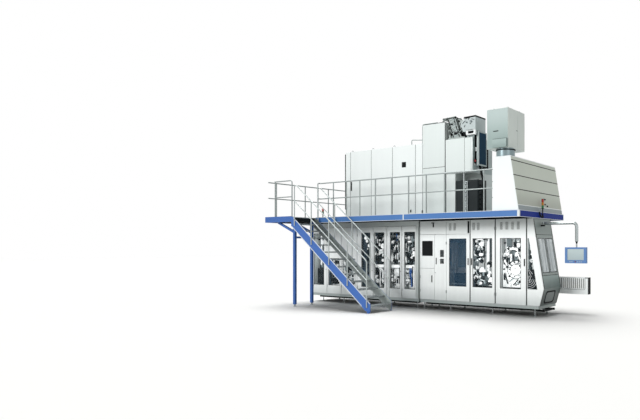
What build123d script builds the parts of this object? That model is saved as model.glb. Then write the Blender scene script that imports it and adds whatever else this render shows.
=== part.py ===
from build123d import *
import os

# Aseptic carton filling machine with its service platform, stair and upper cabinets.
# Millimetres. +X runs along the machine towards the outfeed, -Y is the operator's side, +Z is up.
# The origin is on the floor, under the centre of the whole plant.

os.makedirs("parts", exist_ok=True)

# Levels above the floor
base_bottom = 200
base_top = 280
door_top = 2580
body_top = 2600
fascia_bottom = 2590
deck_top = 2745
fascia_top = 2765
guard_height = 1110
mid_rail_height = 615

# Stations along the machine
plant_left = -4795
landing_right = -3605
left_body = (-4581, -167)
right_body_left = -112
right_body_top = 3509
right_body_kink = (3820, 738)
right_body_foot = 3692
walkway_right = 3535
hood_left = 2769
hood_top_right = 3278
hood_bottom_right = 3509

# Stations across the machine
plant_front = -1970
plant_rear = 1970
landing_front = -1936
walkway_front = -910
body_front = -80
body_rear = 1060
platform_middle = (walkway_front + plant_rear) / 2

# Sheet, plate and tube sizes
fascia_thickness = 15
deck_plate = 25
door_thickness = 35
frame_gap = 7
seam = 8
pane = 6
rail_radius = 19


def export(piece, name):
    """Label a finished sub-part and write it to its own file."""
    piece.part.label = name
    export_step(piece.part, f"parts/{name}.step")


def block(low, high, mode=Mode.ADD):
    """Rectangular block between two opposite corners."""
    with Locations(tuple((a + b) / 2 for a, b in zip(low, high))):
        Box(*(b - a for a, b in zip(low, high)), mode=mode)


def side_profile(points, y_near, y_far, mode=Mode.ADD):
    """Outline drawn in X and Z, extruded across the machine."""
    with BuildSketch(Plane.XZ.offset(-y_far)) as outline:
        with BuildLine():
            Polyline(*points, close=True)
        make_face()
    extrude(outline.sketch, amount=y_far - y_near, mode=mode)


def bar(start, end, radius, sides=8):
    """Straight rail, post or pipe of few sides between two points."""
    axis = Vector(*end) - Vector(*start)
    with BuildSketch(Plane(origin=start, z_dir=axis)) as section:
        RegularPolygon(radius, sides)
    extrude(section.sketch, amount=axis.length)


def upright(x, y, low, high, radius, mode=Mode.ADD):
    """Round upright between two levels."""
    with BuildSketch(Plane.XY.offset(low)) as section:
        with Locations((x, y)):
            Circle(radius)
    extrude(section.sketch, amount=high - low, mode=mode)


# Platform deck: chequer plate on cross beams, a landing at the left and walkways round the machine
inner_front = walkway_front + fascia_thickness
inner_rear = plant_rear - fascia_thickness
landing_inner = (plant_left + fascia_thickness, landing_front + fascia_thickness)

with BuildPart() as deck_plates:
    block((landing_inner[0], landing_inner[1], deck_top - deck_plate),
          (landing_right - 2, inner_rear, deck_top))
    block((landing_right, inner_front, deck_top - deck_plate),
          (walkway_right - fascia_thickness, inner_rear, deck_top))
export(deck_plates, "deck_plates")

beam_width = 80
beam_top = deck_top - deck_plate


def beam_grid(x_low, x_high, y_low, y_high, cross_beams):
    """Edge channels joined by evenly spaced cross beams."""
    block((x_low, y_low, body_top), (x_high, y_low + beam_width, beam_top))
    block((x_low, y_high - beam_width, body_top), (x_high, y_high, beam_top))
    pitch = (x_high - x_low - beam_width) / (cross_beams - 1)
    for index in range(cross_beams):
        x = x_low + index * pitch
        block((x, y_low, body_top), (x + beam_width, y_high, beam_top))


with BuildPart() as deck_beams:
    beam_grid(landing_inner[0], landing_right - 5, landing_inner[1], inner_rear, 3)
    beam_grid(landing_right, walkway_right - fascia_thickness, inner_front, inner_rear, 10)
export(deck_beams, "deck_beams")

# Blue fascia: flat boards round the edge of the deck, each with a turned lower lip
lip_depth = 40
lip_thickness = 8


def fascia_board(low, high, lip_low, lip_high):
    """Upright board with its inward lip along the bottom edge."""
    block((*low, fascia_bottom), (*high, fascia_top))
    block((*lip_low, fascia_bottom), (*lip_high, fascia_bottom + lip_thickness))


with BuildPart() as front_fascia:
    fascia_board((landing_right, walkway_front), (walkway_right, inner_front),
                 (landing_right, walkway_front), (walkway_right, inner_front + lip_depth))
export(front_fascia, "front_fascia")

with BuildPart() as end_fascia:
    block((walkway_right - fascia_thickness, inner_front + lip_depth + 1, fascia_bottom),
          (walkway_right, inner_rear - lip_depth - 1, fascia_top))
export(end_fascia, "end_fascia")

with BuildPart() as rear_fascia:
    fascia_board((plant_left, inner_rear), (walkway_right, plant_rear),
                 (plant_left, inner_rear - lip_depth), (walkway_right, plant_rear))
export(rear_fascia, "rear_fascia")

with BuildPart() as landing_fascia:
    fascia_board((plant_left, landing_front), (landing_right, landing_inner[1]),
                 (plant_left, landing_front), (landing_right, landing_inner[1] + lip_depth))
    fascia_board((plant_left, landing_front), (landing_inner[0], inner_rear - lip_depth - 1),
                 (plant_left, landing_front),
                 (landing_inner[0] + lip_depth, inner_rear - lip_depth - 1))
export(landing_fascia, "landing_fascia")

# Landing legs: blue square posts in two tied pairs, on levelling feet, with diagonal braces
leg_x = -3668
leg_size = 80
leg_foot = 60
leg_rows = ((-1730, -1020), (1180, 1800))
tie_level = 2120
tie_size = 60

brace_reach = 700
brace_drop = 270
brace_size = 60
leg_face = leg_x - leg_size / 2

with BuildPart() as landing_legs:
    for pair in leg_rows:
        for y in pair:
            block((leg_x - leg_size / 2, y - leg_size / 2, leg_foot),
                  (leg_x + leg_size / 2, y + leg_size / 2, body_top))
            upright(leg_x, y, 0, 14, 48)
            upright(leg_x, y, 14, leg_foot, 14)
        block((leg_x - tie_size / 2, pair[0], tie_level - tie_size / 2),
              (leg_x + tie_size / 2, pair[1], tie_level + tie_size / 2))
        for y in pair:
            side_profile(((leg_face, body_top - brace_drop), (leg_face, body_top - brace_drop - 75),
                          (leg_face - brace_reach, body_top - 42), (leg_face - brace_reach, body_top),
                          (leg_face - brace_reach + 60, body_top)),
                         y - brace_size / 2, y + brace_size / 2)
export(landing_legs, "landing_legs")

# Stair: thirteen risers between two plate stringers, in front of the walkway
risers = 13
riser = deck_top / risers
going = 262
stair_top_x = landing_right
stair_foot_x = stair_top_x + (risers - 1) * going
stringer_plate = 12
stringer_faces = (landing_front, -980)
stringer_above = 60
stringer_below = 290
foot_height = 50
slope = riser / going


def nosing_level(x):
    """Height of the line through the tread edges."""
    return deck_top - slope * (x - stair_top_x)


with BuildPart() as stair_stringers:
    foot_flat = stair_top_x + (deck_top - stringer_below - foot_height) / slope
    stringer_outline = ((stair_top_x, nosing_level(stair_top_x) - stringer_below),
                        (foot_flat, foot_height),
                        (stair_foot_x, foot_height),
                        (stair_foot_x, nosing_level(stair_foot_x) + stringer_above),
                        (stair_top_x + stringer_above / slope, deck_top),
                        (stair_top_x, deck_top))
    for near, far in ((stringer_faces[0], stringer_faces[0] + stringer_plate),
                      (stringer_faces[1] - stringer_plate, stringer_faces[1])):
        side_profile(stringer_outline, near, far)
        block((stair_foot_x - 110, near - 14, 0), (stair_foot_x - 20, far + 14, foot_height))
export(stair_stringers, "stair_stringers")

tread_thickness = 35
tread_overlap = 22

with BuildPart() as stair_treads:
    for step in range(1, risers):
        level = deck_top - step * riser
        front = stair_top_x + step * going
        back = max(front - going - tread_overlap, stair_top_x)
        block((back, stringer_faces[0] + stringer_plate, level - tread_thickness),
              (front, stringer_faces[1] - stringer_plate, level))
export(stair_treads, "stair_treads")

# Stair handrails: sloping tubes on posts fixed to the outer faces of the stringers
stair_rail_radius = 17
handrail_rise = 1140
handrail_mid = 605
post_start = -3445
post_pitch = 717
stair_posts = 5


def stair_handrail(y):
    """One flat side of the stair's guard: posts, knee rail and handrail."""
    first = post_start
    last = post_start + (stair_posts - 1) * post_pitch
    for index in range(stair_posts):
        x = post_start + index * post_pitch
        low = max(nosing_level(x) - 150, 0)
        bar((x, y, low), (x, y, nosing_level(x) + handrail_rise), stair_rail_radius)
    for rise in (handrail_mid, handrail_rise):
        bar((first, y, nosing_level(first) + rise), (last, y, nosing_level(last) + rise),
            stair_rail_radius)


with BuildPart() as near_handrail:
    stair_handrail(stringer_faces[0] - stair_rail_radius)
export(near_handrail, "near_handrail")

with BuildPart() as far_handrail:
    stair_handrail(stringer_faces[1] + stair_rail_radius)
export(far_handrail, "far_handrail")

# Guard rails of the deck: steel tube posts, a knee rail and a top rail
top_rail = deck_top + guard_height
mid_rail = deck_top + mid_rail_height
walkway_rail_y = -750
walkway_posts = [-2985, -2435] + [-1885 + 617 * index for index in range(8)]
rear_rail_y = 1880
end_rail_x = -4705
landing_rail_y = -1880
landing_rail_left = -4389


def guard_rail(start, end, posts):
    """Level guard rail from start to end, with a post at each given point."""
    for x, y in posts:
        bar((x, y, deck_top), (x, y, top_rail), rail_radius)
    for level in (mid_rail, top_rail):
        bar((*start, level), (*end, level), rail_radius)


with BuildPart() as walkway_rail:
    corner_x = landing_right + 50
    return_y = inner_front + 27
    guard_rail((corner_x, walkway_rail_y), (hood_left, walkway_rail_y),
               [(x, walkway_rail_y) for x in walkway_posts])
    guard_rail((corner_x, return_y), (corner_x, walkway_rail_y), [(corner_x, return_y)])
export(walkway_rail, "walkway_rail")

with BuildPart() as rear_rail:
    guard_rail((end_rail_x + 2 * rail_radius + 6, rear_rail_y), (hood_left, rear_rail_y),
               [(x, rear_rail_y) for x in [-4095, -3540] + walkway_posts])
export(rear_rail, "rear_rail")

with BuildPart() as end_rail:
    guard_rail((end_rail_x, landing_rail_y), (end_rail_x, rear_rail_y),
               [(end_rail_x, y) for y in (-1560, -320, 780, rear_rail_y)])
export(end_rail, "end_rail")

with BuildPart() as landing_rail:
    guard_rail((landing_rail_left, landing_rail_y), (landing_right - 25, landing_rail_y),
               [(landing_rail_left, landing_rail_y), (landing_right - 25, landing_rail_y)])
export(landing_rail, "landing_rail")

# Machine feet and base frames
foot_rows = (100, 880)
left_feet = (-4260, -3324, -1825, -331)
right_feet = (-65, 860, 2231, 3499)

with BuildPart() as machine_feet:
    for x in left_feet + right_feet:
        for y in foot_rows:
            upright(x, y, 0, 14, 46)
            upright(x, y, 14, base_bottom, 15)
export(machine_feet, "machine_feet")

base_front = body_front + 25

with BuildPart() as base_frames:
    block((left_body[0], base_front, base_bottom), (left_body[1], body_rear, base_top))
    block((right_body_left, base_front, base_bottom), (right_body_foot - 20, body_rear, base_top))
export(base_frames, "base_frames")

# Lower housings: steel shells with door openings along the front
shell = 40
mullion = 40
housing_front = body_front + door_thickness + frame_gap
door_sill = base_top + 10

left_seams = (-4581, -3928, -3282, -2595, -1923, -1377, -795, -259)
right_seams = (-112, 404, 818, 1611, 2406, 3338)
opening_sill = door_sill + mullion
left_door_top = 2450
header_gap = 8


def door_openings(seams, head):
    """Cut one opening behind each door, leaving a mullion at each seam."""
    for x_low, x_high in zip(seams, seams[1:]):
        block((x_low + mullion / 2, housing_front, opening_sill),
              (x_high - mullion / 2, housing_front + shell, head - mullion), mode=Mode.SUBTRACT)


with BuildPart() as left_housing:
    block((left_body[0], housing_front, base_top), (left_body[1], body_rear, body_top))
    block((left_body[0] + shell, housing_front + shell, base_top + shell),
          (left_body[1] - shell, body_rear - shell, body_top - shell), mode=Mode.SUBTRACT)
    door_openings((left_seams[0] + 20, *left_seams[1:]), left_door_top)
    block((left_body[0], body_front, left_door_top + header_gap), (left_body[1], housing_front, body_top))
    block((left_seams[-1] + header_gap, body_front, door_sill),
          (left_seams[-1] + 68, housing_front, left_door_top + header_gap))
export(left_housing, "left_housing")

# The right housing leans outwards at its end down to a kink, then cuts back to the base
skin = 20
lean = (right_body_kink[0] - right_body_top) / (body_top - right_body_kink[1])


def end_face_x(level):
    """Where the leaning end face stands at a level above the kink."""
    return right_body_top + lean * (body_top - level)


def end_outline(left, inset, low, high):
    """Outline of the right body in X and Z, set in from its end face."""
    kink_x, kink_z = right_body_kink
    return ((left, low), (right_body_foot - inset, low), (kink_x - inset, kink_z),
            (end_face_x(high) - inset, high), (left, high))


end_window_y = (10, 970)
end_window_z = (1150, 2060)

with BuildPart() as right_housing:
    side_profile(end_outline(right_body_left, skin, base_top, body_top), housing_front, body_rear)
    side_profile(end_outline(right_body_left + shell, skin + shell, base_top + shell,
                             body_top - shell),
                 housing_front + shell, body_rear - shell, mode=Mode.SUBTRACT)
    door_openings(right_seams, door_top)
    block((right_seams[-1] + mullion / 2, housing_front, 720),
          (right_seams[-1] + 150, housing_front + shell, 2060), mode=Mode.SUBTRACT)
    block((3395, end_window_y[0], end_window_z[0]), (3895, end_window_y[1], end_window_z[1]),
          mode=Mode.SUBTRACT)
export(right_housing, "right_housing")

# Skins that close the leaning end: a glazed screen over a plain lower cover
with BuildPart() as end_screen:
    screen_low = 1080
    screen_high = body_top - 15
    side_profile(((end_face_x(screen_low) - skin, screen_low), (end_face_x(screen_low), screen_low),
                  (end_face_x(screen_high), screen_high), (end_face_x(screen_high) - skin, screen_high)),
                 housing_front, body_rear)
export(end_screen, "end_screen")

with BuildPart() as end_cover:
    cover_top = 1072
    kink_x, kink_z = right_body_kink
    side_profile(((right_body_foot - skin, base_top), (right_body_foot, base_top),
                  (kink_x, kink_z), (end_face_x(cover_top), cover_top),
                  (end_face_x(cover_top) - skin, cover_top), (kink_x - skin, kink_z)),
                 housing_front, body_rear)
export(end_cover, "end_cover")

# Fixed front panels: the tapering side panel beside the end face, and the two upper panels
with BuildPart() as side_panel:
    panel_left = right_seams[-1] + 18
    front_y = (body_front, body_front + door_thickness)
    kink_x, kink_z = right_body_kink
    side_profile(((panel_left, door_sill), (right_body_foot + 10, door_sill), (kink_x, kink_z),
                  (end_face_x(door_top), door_top), (panel_left, door_top)),
                 *front_y)
    window = ((3366, 715), (3645, 715), (3403, 2058), (3366, 2058))
    side_profile(window, front_y[0], front_y[0] + 10, mode=Mode.SUBTRACT)
    side_profile(window, front_y[0] + 10 + pane, front_y[1], mode=Mode.SUBTRACT)
    block((panel_left, front_y[1], 1100), (3585, housing_front, 1160))
export(side_panel, "side_panel")

hatch_bottom = 2186
with BuildPart() as upper_panels:
    for x_low, x_high in ((right_seams[0], right_seams[2]), (right_seams[2], right_seams[3])):
        block((x_low + seam / 2, body_front, hatch_bottom + seam),
              (x_high - seam / 2, housing_front, door_top))
    block((right_seams[0] + seam / 2, body_front, 1195 + seam),
          (right_seams[1] - seam / 2, housing_front, hatch_bottom))
export(upper_panels, "upper_panels")

# Hinged front doors: steel frames round a recessed pane, each swinging on one upright edge
handle_reach = 25
handle_width = 24


def door(x_low, x_high, low, high, window=None, handle=None, gaps=(seam / 2, seam / 2)):
    """Door leaf with an optional recessed pane and a bar handle."""
    back = body_front + door_thickness
    block((x_low + gaps[0], body_front, low), (x_high - gaps[1], back, high))
    if window:
        (win_left, win_right), (win_low, win_high) = window
        block((win_left, body_front, win_low), (win_right, body_front + 10, win_high),
              mode=Mode.SUBTRACT)
        block((win_left, body_front + 10 + pane, win_low), (win_right, back, win_high),
              mode=Mode.SUBTRACT)
    if handle:
        handle_x, handle_low, handle_high = handle
        block((handle_x - handle_width / 2, body_front - handle_reach, handle_low),
              (handle_x + handle_width / 2, body_front, handle_high))


window_low = 560
window_high = 2275
low_window_high = 1450
left_windows = (((-4533, -4063), window_high), ((-3858, -3362), low_window_high),
                ((-3212, -2675), low_window_high), ((-2409, -2042), window_high),
                ((-1879, -1480), window_high), ((-1247, -863), window_high),
                ((-696, -299), window_high))

for number, (x_low, x_high) in enumerate(zip(left_seams, left_seams[1:]), start=1):
    sides, head = left_windows[number - 1]
    with BuildPart() as left_door:
        door(x_low, x_high, door_sill, left_door_top, window=(sides, (window_low, head)))
    export(left_door, f"left_door_{number}")

lower_hatch_top = 1195
wide_gap = 18
glass_low = 710
glass_high = 2062

with BuildPart() as cabinet_door:
    door(right_seams[0], right_seams[1], door_sill, lower_hatch_top, handle=(315, 800, 985))
export(cabinet_door, "cabinet_door")

with BuildPart() as control_door:
    door(right_seams[1], right_seams[2], door_sill, hatch_bottom,
         window=((605, 730), (1345, 1735)))
export(control_door, "control_door")

with BuildPart() as glass_door:
    door(right_seams[2], right_seams[3], door_sill, hatch_bottom,
         window=((917, 1485), (glass_low, glass_high)), handle=(1547, 1330, 1500),
         gaps=(seam / 2, wide_gap))
export(glass_door, "glass_door")

with BuildPart() as forming_door:
    door(right_seams[3], right_seams[4], door_sill, door_top,
         window=((1694, 2308), (glass_low, glass_high)), handle=(1660, 1330, 1500),
         gaps=(wide_gap, wide_gap))
export(forming_door, "forming_door")

with BuildPart() as wheel_door:
    door(right_seams[4], right_seams[5], door_sill, door_top,
         window=((2556, 3172), (glass_low, glass_high)), handle=(3277, 1328, 1502),
         gaps=(wide_gap, wide_gap))
export(wheel_door, "wheel_door")

# Machinery behind the panes, standing on the housing floors
machinery_floor = base_top + shell
machinery_back = body_rear - shell

with BuildPart() as left_machinery:
    block((-4495, 620, machinery_floor), (-255, machinery_back, 2480))
    for x in (-4255, -3605, -2935, -2235, -1655, -1085, -535):
        upright(x - 120, 300, machinery_floor, 2400, 45)
        upright(x + 120, 300, machinery_floor, 2400, 30)
        block((x - 190, 180, 1500), (x + 190, 640, 1760))
        block((x - 150, 220, 700), (x + 150, 640, 1100))
export(left_machinery, "left_machinery")

wheel_centre = (2880, 1400)
wheel_radius = 460

with BuildPart() as right_machinery:
    block((-60, 620, machinery_floor), (3385, machinery_back, 2480))
    for x in (1185, 1905, 2125):
        upright(x, 260, machinery_floor, 2400, 55)
    block((1045, 160, 900), (2225, 640, 1240))
    block((1785, 180, 1560), (2245, 640, 1820))
    with BuildSketch(Plane.XZ.offset(-640)):
        with Locations(wheel_centre):
            Circle(wheel_radius)
    extrude(amount=340)
    with BuildSketch(Plane.XZ.offset(-300)):
        with Locations(wheel_centre):
            Circle(120)
    extrude(amount=120)
export(right_machinery, "right_machinery")

# Upper cabinets on the deck
cabinet_top = 4890
cabinet_seams = (-3092, -2874, -2001, -1153, -281, -24)
cabinet_gap = 6

with BuildPart() as cabinet_row:
    for x_low, x_high in zip(cabinet_seams, cabinet_seams[1:]):
        block((x_low + cabinet_gap / 2, body_front, deck_top),
              (x_high - cabinet_gap / 2, body_rear, cabinet_top))
export(cabinet_row, "cabinet_row")

tall_top = 5430
tall_cabinet_x = (-14, 773)

with BuildPart() as tall_cabinet:
    block((tall_cabinet_x[0], body_front, deck_top), (tall_cabinet_x[1], body_rear, tall_top))
export(tall_cabinet, "tall_cabinet")

filler_x = (790, 1690)
filler_bottom = 3925
filler_top = 4905
plinth_right = 1105

with BuildPart() as filler_cabinet:
    block((filler_x[0], body_front, filler_bottom), (filler_x[1], body_rear, filler_top))
    block((filler_x[0], body_front + 30, deck_top), (plinth_right, body_rear, filler_bottom))
    block((plinth_right, 430, deck_top), (filler_x[1], body_rear, filler_bottom))
export(filler_cabinet, "filler_cabinet")

with BuildPart() as blower_cabinet:
    block((plinth_right + 8, -60, deck_top), (1867, 422, 3710))
export(blower_cabinet, "blower_cabinet")

with BuildPart() as glazed_screen:
    block((filler_x[1], 10, 4110), (filler_x[1] + 145, 470, 5070))
export(glazed_screen, "glazed_screen")

# Drive on top of the filler cabinet: a motor box with a slanted cheek, and a leaning transfer unit
box_low = 5075
box_right = 1787

with BuildPart() as motor_box:
    side_profile(((1380, box_low), (box_right, box_low), (box_right, 5500), (1413, 5490), (1300, 5300)),
                 -80, 490)
    block((1476, -80, 4965), (box_right, -10, box_low))
    block((1470, -10, filler_top), (filler_x[1], 470, box_low))
export(motor_box, "motor_box")

drive_bed_top = filler_top + 60

with BuildPart() as transfer_drive:
    block((805, 20, filler_top), (1370, 900, drive_bed_top))
    side_profile(((1000, drive_bed_top), (1285, drive_bed_top), (1075, 5575), (790, 5560)), 20, 330)
    block((640, 60, 5500), (810, 250, 5560))
    block((815, 60, drive_bed_top), (990, 330, drive_bed_top + 130))
    block((815, 330, drive_bed_top), (1280, 880, 5420))
export(transfer_drive, "transfer_drive")

# Small pipe that climbs the tall cabinet's edge
pipe_radius = 14
pipe_y = -56
pipe_start = -433

with BuildPart() as cabinet_pipe:
    pipe_x = tall_cabinet_x[0] - 17
    top_z = tall_top + pipe_radius
    bar((pipe_start, pipe_y, cabinet_top), (pipe_start, pipe_y, 5030), pipe_radius)
    bar((pipe_start, pipe_y, 5030), (pipe_x, pipe_y, 4990), pipe_radius)
    bar((pipe_x, pipe_y, cabinet_top), (pipe_x, pipe_y, top_z), pipe_radius)
    bar((pipe_x, pipe_y, top_z), (495, pipe_y, top_z), pipe_radius)
export(cabinet_pipe, "cabinet_pipe")

# Hood over the outfeed end, and the air filter that stands on it
hood_top = 4150

with BuildPart() as hood:
    hood_front = inner_front + 2
    hood_rear = inner_rear - 2
    with BuildSketch(Plane.XZ.offset(-hood_rear)) as hood_outline:
        with BuildLine():
            Polyline((hood_left, deck_top), (hood_bottom_right, deck_top),
                     (hood_top_right, hood_top), (hood_left, hood_top), close=True)
        make_face()
        fillet(hood_outline.vertices().sort_by(Axis.Y)[-2:].sort_by(Axis.X)[0], radius=70)
    extrude(amount=hood_rear - hood_front)
export(hood, "hood")

duct_centre = (3025, -660)
duct_radius = 225
filter_bottom = 4356
filter_top = 5378

with BuildPart() as filter_duct:
    upright(*duct_centre, hood_top, filter_bottom, duct_radius)
export(filter_duct, "filter_duct")

with BuildPart() as filter_box:
    block((2593, -880, filter_bottom), (3210, 80, filter_top))
    block((2797, -960, filter_bottom + 7), (3198, -880, 4590))
export(filter_box, "filter_box")

# Signal towers: one on the end fascia, one on the landing
lamp_radius = 32


def signal_tower(x, y, low, lamp_low, lamp_high):
    """Slim post with a stack of lamps."""
    upright(x, y, low, lamp_low, 15)
    upright(x, y, lamp_low, lamp_high, lamp_radius)


with BuildPart() as end_signal:
    signal_x = walkway_right + 45
    block((walkway_right, 375, 2610), (walkway_right + 75, 435, 2650))
    signal_tower(signal_x, 405, 2650, 2860, 3114)
export(end_signal, "end_signal")

with BuildPart() as landing_signal:
    signal_tower(-3365, -830, deck_top, 2850, 3045)
export(landing_signal, "landing_signal")

# Operator panel on a swinging arm
arm_pivot = (3605, 410)
arm_level = 2455
arm_radius = 35
hub_radius = 44
panel_x = 4523
panel_x_range = (4219, 4795)
panel_levels = (1405, 1820)
pin_low = 1830
pivot_pin = 15
neck_pin = 12
running_gap = 0.06

with BuildPart() as arm_bracket:
    lug_low = 2378
    lug_high = 2418
    side_profile(((end_face_x(lug_low), lug_low), (arm_pivot[0] + 34, lug_low),
                  (arm_pivot[0] + 34, lug_high), (end_face_x(lug_high), lug_high)),
                 arm_pivot[1] - 34, arm_pivot[1] + 34)
    upright(*arm_pivot, lug_high, 2478, pivot_pin)
export(arm_bracket, "arm_bracket")

with BuildPart() as panel_arm:
    hub_low = lug_high + 6
    bend = 90
    drop_low = 1970
    with BuildLine() as arm_path:
        FilletPolyline((arm_pivot[0] + 30, arm_pivot[1], arm_level),
                       (panel_x, arm_pivot[1], arm_level),
                       (panel_x, arm_pivot[1], drop_low), radius=bend)
    with BuildSketch(Plane(origin=arm_path.line @ 0, z_dir=arm_path.line % 0)):
        Circle(arm_radius)
    sweep()
    upright(*arm_pivot, hub_low, arm_level + arm_radius, hub_radius)
    upright(*arm_pivot, hub_low, 2479, pivot_pin + running_gap, mode=Mode.SUBTRACT)
    upright(panel_x, arm_pivot[1], pin_low, drop_low, neck_pin)
export(panel_arm, "panel_arm")

with BuildPart() as operator_panel:
    collar_top = 1905
    block((panel_x_range[0], arm_pivot[1] - 45, panel_levels[0]),
          (panel_x_range[1], arm_pivot[1] + 45, panel_levels[1]))
    upright(panel_x, arm_pivot[1], panel_levels[1], collar_top, 20)
    upright(panel_x, arm_pivot[1], pin_low - 5, collar_top, neck_pin + running_gap,
            mode=Mode.SUBTRACT)
export(operator_panel, "operator_panel")

# Outfeed conveyor beside the rear of the machine: a bed between slotted guards, on two stands
conveyor_x = (2445, 4560)
conveyor_y = (1170, 1350)
conveyor_low = 545
belt_level = 680
guard_top = 1000
guard_plate = 12

with BuildPart() as conveyor_bed:
    block((conveyor_x[0], conveyor_y[0] + guard_plate, conveyor_low + 25),
          (conveyor_x[1] - guard_plate - 8, conveyor_y[1] - guard_plate, belt_level))
export(conveyor_bed, "conveyor_bed")

slot_count = 12
slot_pitch = 58
slot_width = 28
last_slot = 4436

with BuildPart() as conveyor_guards:
    for guard_front in (conveyor_y[0], conveyor_y[1] - guard_plate):
        block((conveyor_x[0], guard_front, conveyor_low),
              (conveyor_x[1], guard_front + guard_plate, guard_top))
    for index in range(slot_count):
        x = last_slot - index * slot_pitch
        block((x - slot_width / 2, conveyor_y[0], belt_level + 20),
              (x + slot_width / 2, conveyor_y[1], guard_top - 25), mode=Mode.SUBTRACT)
    block((conveyor_x[1] - guard_plate, conveyor_y[0], conveyor_low),
          (conveyor_x[1], conveyor_y[1], guard_top))
export(conveyor_guards, "conveyor_guards")

with BuildPart() as conveyor_stands:
    for x in (2565, 3245):
        for y in (conveyor_y[0] + 45, conveyor_y[1] - 45):
            block((x - 25, y - 25, 20), (x + 25, y + 25, conveyor_low + 25))
            upright(x, y, 0, 20, 40)
export(conveyor_stands, "conveyor_stands")
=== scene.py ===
import math
import random

import bmesh
import bpy
from mathutils import Matrix, Vector


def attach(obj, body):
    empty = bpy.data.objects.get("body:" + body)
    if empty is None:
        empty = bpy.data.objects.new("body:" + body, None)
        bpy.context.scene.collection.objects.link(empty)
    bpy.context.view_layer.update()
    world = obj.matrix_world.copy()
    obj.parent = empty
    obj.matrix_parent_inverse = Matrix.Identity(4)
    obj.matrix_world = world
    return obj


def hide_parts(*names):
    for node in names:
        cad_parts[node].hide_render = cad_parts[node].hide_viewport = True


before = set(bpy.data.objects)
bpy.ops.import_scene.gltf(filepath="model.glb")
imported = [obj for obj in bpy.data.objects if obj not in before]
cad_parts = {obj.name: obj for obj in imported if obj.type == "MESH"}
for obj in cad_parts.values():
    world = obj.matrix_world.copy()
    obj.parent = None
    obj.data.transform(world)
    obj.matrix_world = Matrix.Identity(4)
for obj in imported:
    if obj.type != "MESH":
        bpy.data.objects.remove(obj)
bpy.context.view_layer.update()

# Studio
# A pale seamless floor under a white surround, and a camera a little above head height beyond the
# outfeed end. A broad light comes from the front left, a weak one from the outfeed side and a soft
# one from overhead, and small lamps stand inside the housings.
scene = bpy.context.scene
scene.view_settings.view_transform = "Standard"

camera_data = bpy.data.cameras.new("photo_camera")
camera_data.lens = 33.26
camera_data.sensor_width = 36.0
camera_data.shift_x = -0.1719
camera_data.shift_y = 0.057
camera_data.clip_end = 200.0
camera = bpy.data.objects.new("photo_camera", camera_data)
camera.location = (10.104, -14.33, 1.84)
camera.rotation_euler = (math.radians(90.0), 0.0, math.radians(34.669))
scene.collection.objects.link(camera)
scene.camera = camera


def linear(hex_code):
    """Turn an sRGB hex value into the linear colour that a shader takes."""
    channels = [int(hex_code[i:i + 2], 16) / 255 for i in (0, 2, 4)]
    return (*(c / 12.92 if c <= 0.04045 else ((c + 0.055) / 1.055) ** 2.4 for c in channels), 1.0)


def shade(hex_code, share):
    """A hex tone made darker or lighter by a share of its linear value."""
    return (*(min(c * share, 1.0) for c in linear(hex_code)[:3]), 1.0)


def add_node(tree, kind, inputs=None, **settings):
    """Add a node with its settings, and fill or link the inputs that are given."""
    node = tree.nodes.new(kind)
    for name, value in settings.items():
        setattr(node, name, value)
    for socket, value in (inputs or {}).items():
        if isinstance(value, bpy.types.NodeSocket):
            tree.links.new(value, node.inputs[socket])
        else:
            node.inputs[socket].default_value = value
    return node


def new_material(name):
    """Start a material and hand back its tree, its shader and its object coordinates."""
    material = bpy.data.materials.new(name)
    material.use_nodes = True
    tree = material.node_tree
    tree.nodes.clear()
    shader = add_node(tree, "ShaderNodeBsdfPrincipled")
    add_node(tree, "ShaderNodeOutputMaterial", {"Surface": shader.outputs["BSDF"]})
    place = add_node(tree, "ShaderNodeTexCoord").outputs["Object"]
    return material, tree, shader, place


world = bpy.data.worlds.new("white surround")
world.use_nodes = True
world.node_tree.nodes.clear()
seen_by = add_node(world.node_tree, "ShaderNodeLightPath")
seen = add_node(world.node_tree, "ShaderNodeMath",
    {0: seen_by.outputs["Is Camera Ray"], 1: seen_by.outputs["Is Glossy Ray"]}, operation="MAXIMUM")
seen = add_node(world.node_tree, "ShaderNodeMath",
    {0: seen.outputs[0], 1: seen_by.outputs["Is Transmission Ray"]}, operation="MAXIMUM")
strength = add_node(world.node_tree, "ShaderNodeMapRange",
    {"Value": seen.outputs[0], "To Min": 0.18, "To Max": 1.0})
surround = add_node(world.node_tree, "ShaderNodeBackground",
    {"Color": (1.0, 1.0, 1.0, 1.0), "Strength": strength.outputs["Result"]})
add_node(world.node_tree, "ShaderNodeOutputWorld", {"Surface": surround.outputs["Background"]})
scene.world = world

floor_size = 160.0
floor_mesh = bpy.data.meshes.new("studio_floor")
floor_mesh.from_pydata(
    [(x * floor_size / 2, y * floor_size / 2, 0.0) for x, y in ((-1, -1), (1, -1), (1, 1), (-1, 1))],
    [], [(0, 1, 2, 3)])
floor = bpy.data.objects.new("studio_floor", floor_mesh)
scene.collection.objects.link(floor)
floor_paint, tree, shader, place = new_material("pale floor paint")
shader.inputs["Base Color"].default_value = linear("F6F6F4")
shader.inputs["Roughness"].default_value = 0.85
floor_mesh.materials.append(floor_paint)


def sun(name, energy, spread, travel):
    """One broad, far light that shines along a direction."""
    data = bpy.data.lights.new(name, "SUN")
    data.energy = energy
    data.angle = math.radians(spread)
    lamp = bpy.data.objects.new(name, data)
    lamp.rotation_euler = Vector(travel).to_track_quat("-Z", "Y").to_euler()
    scene.collection.objects.link(lamp)
    return lamp


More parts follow.
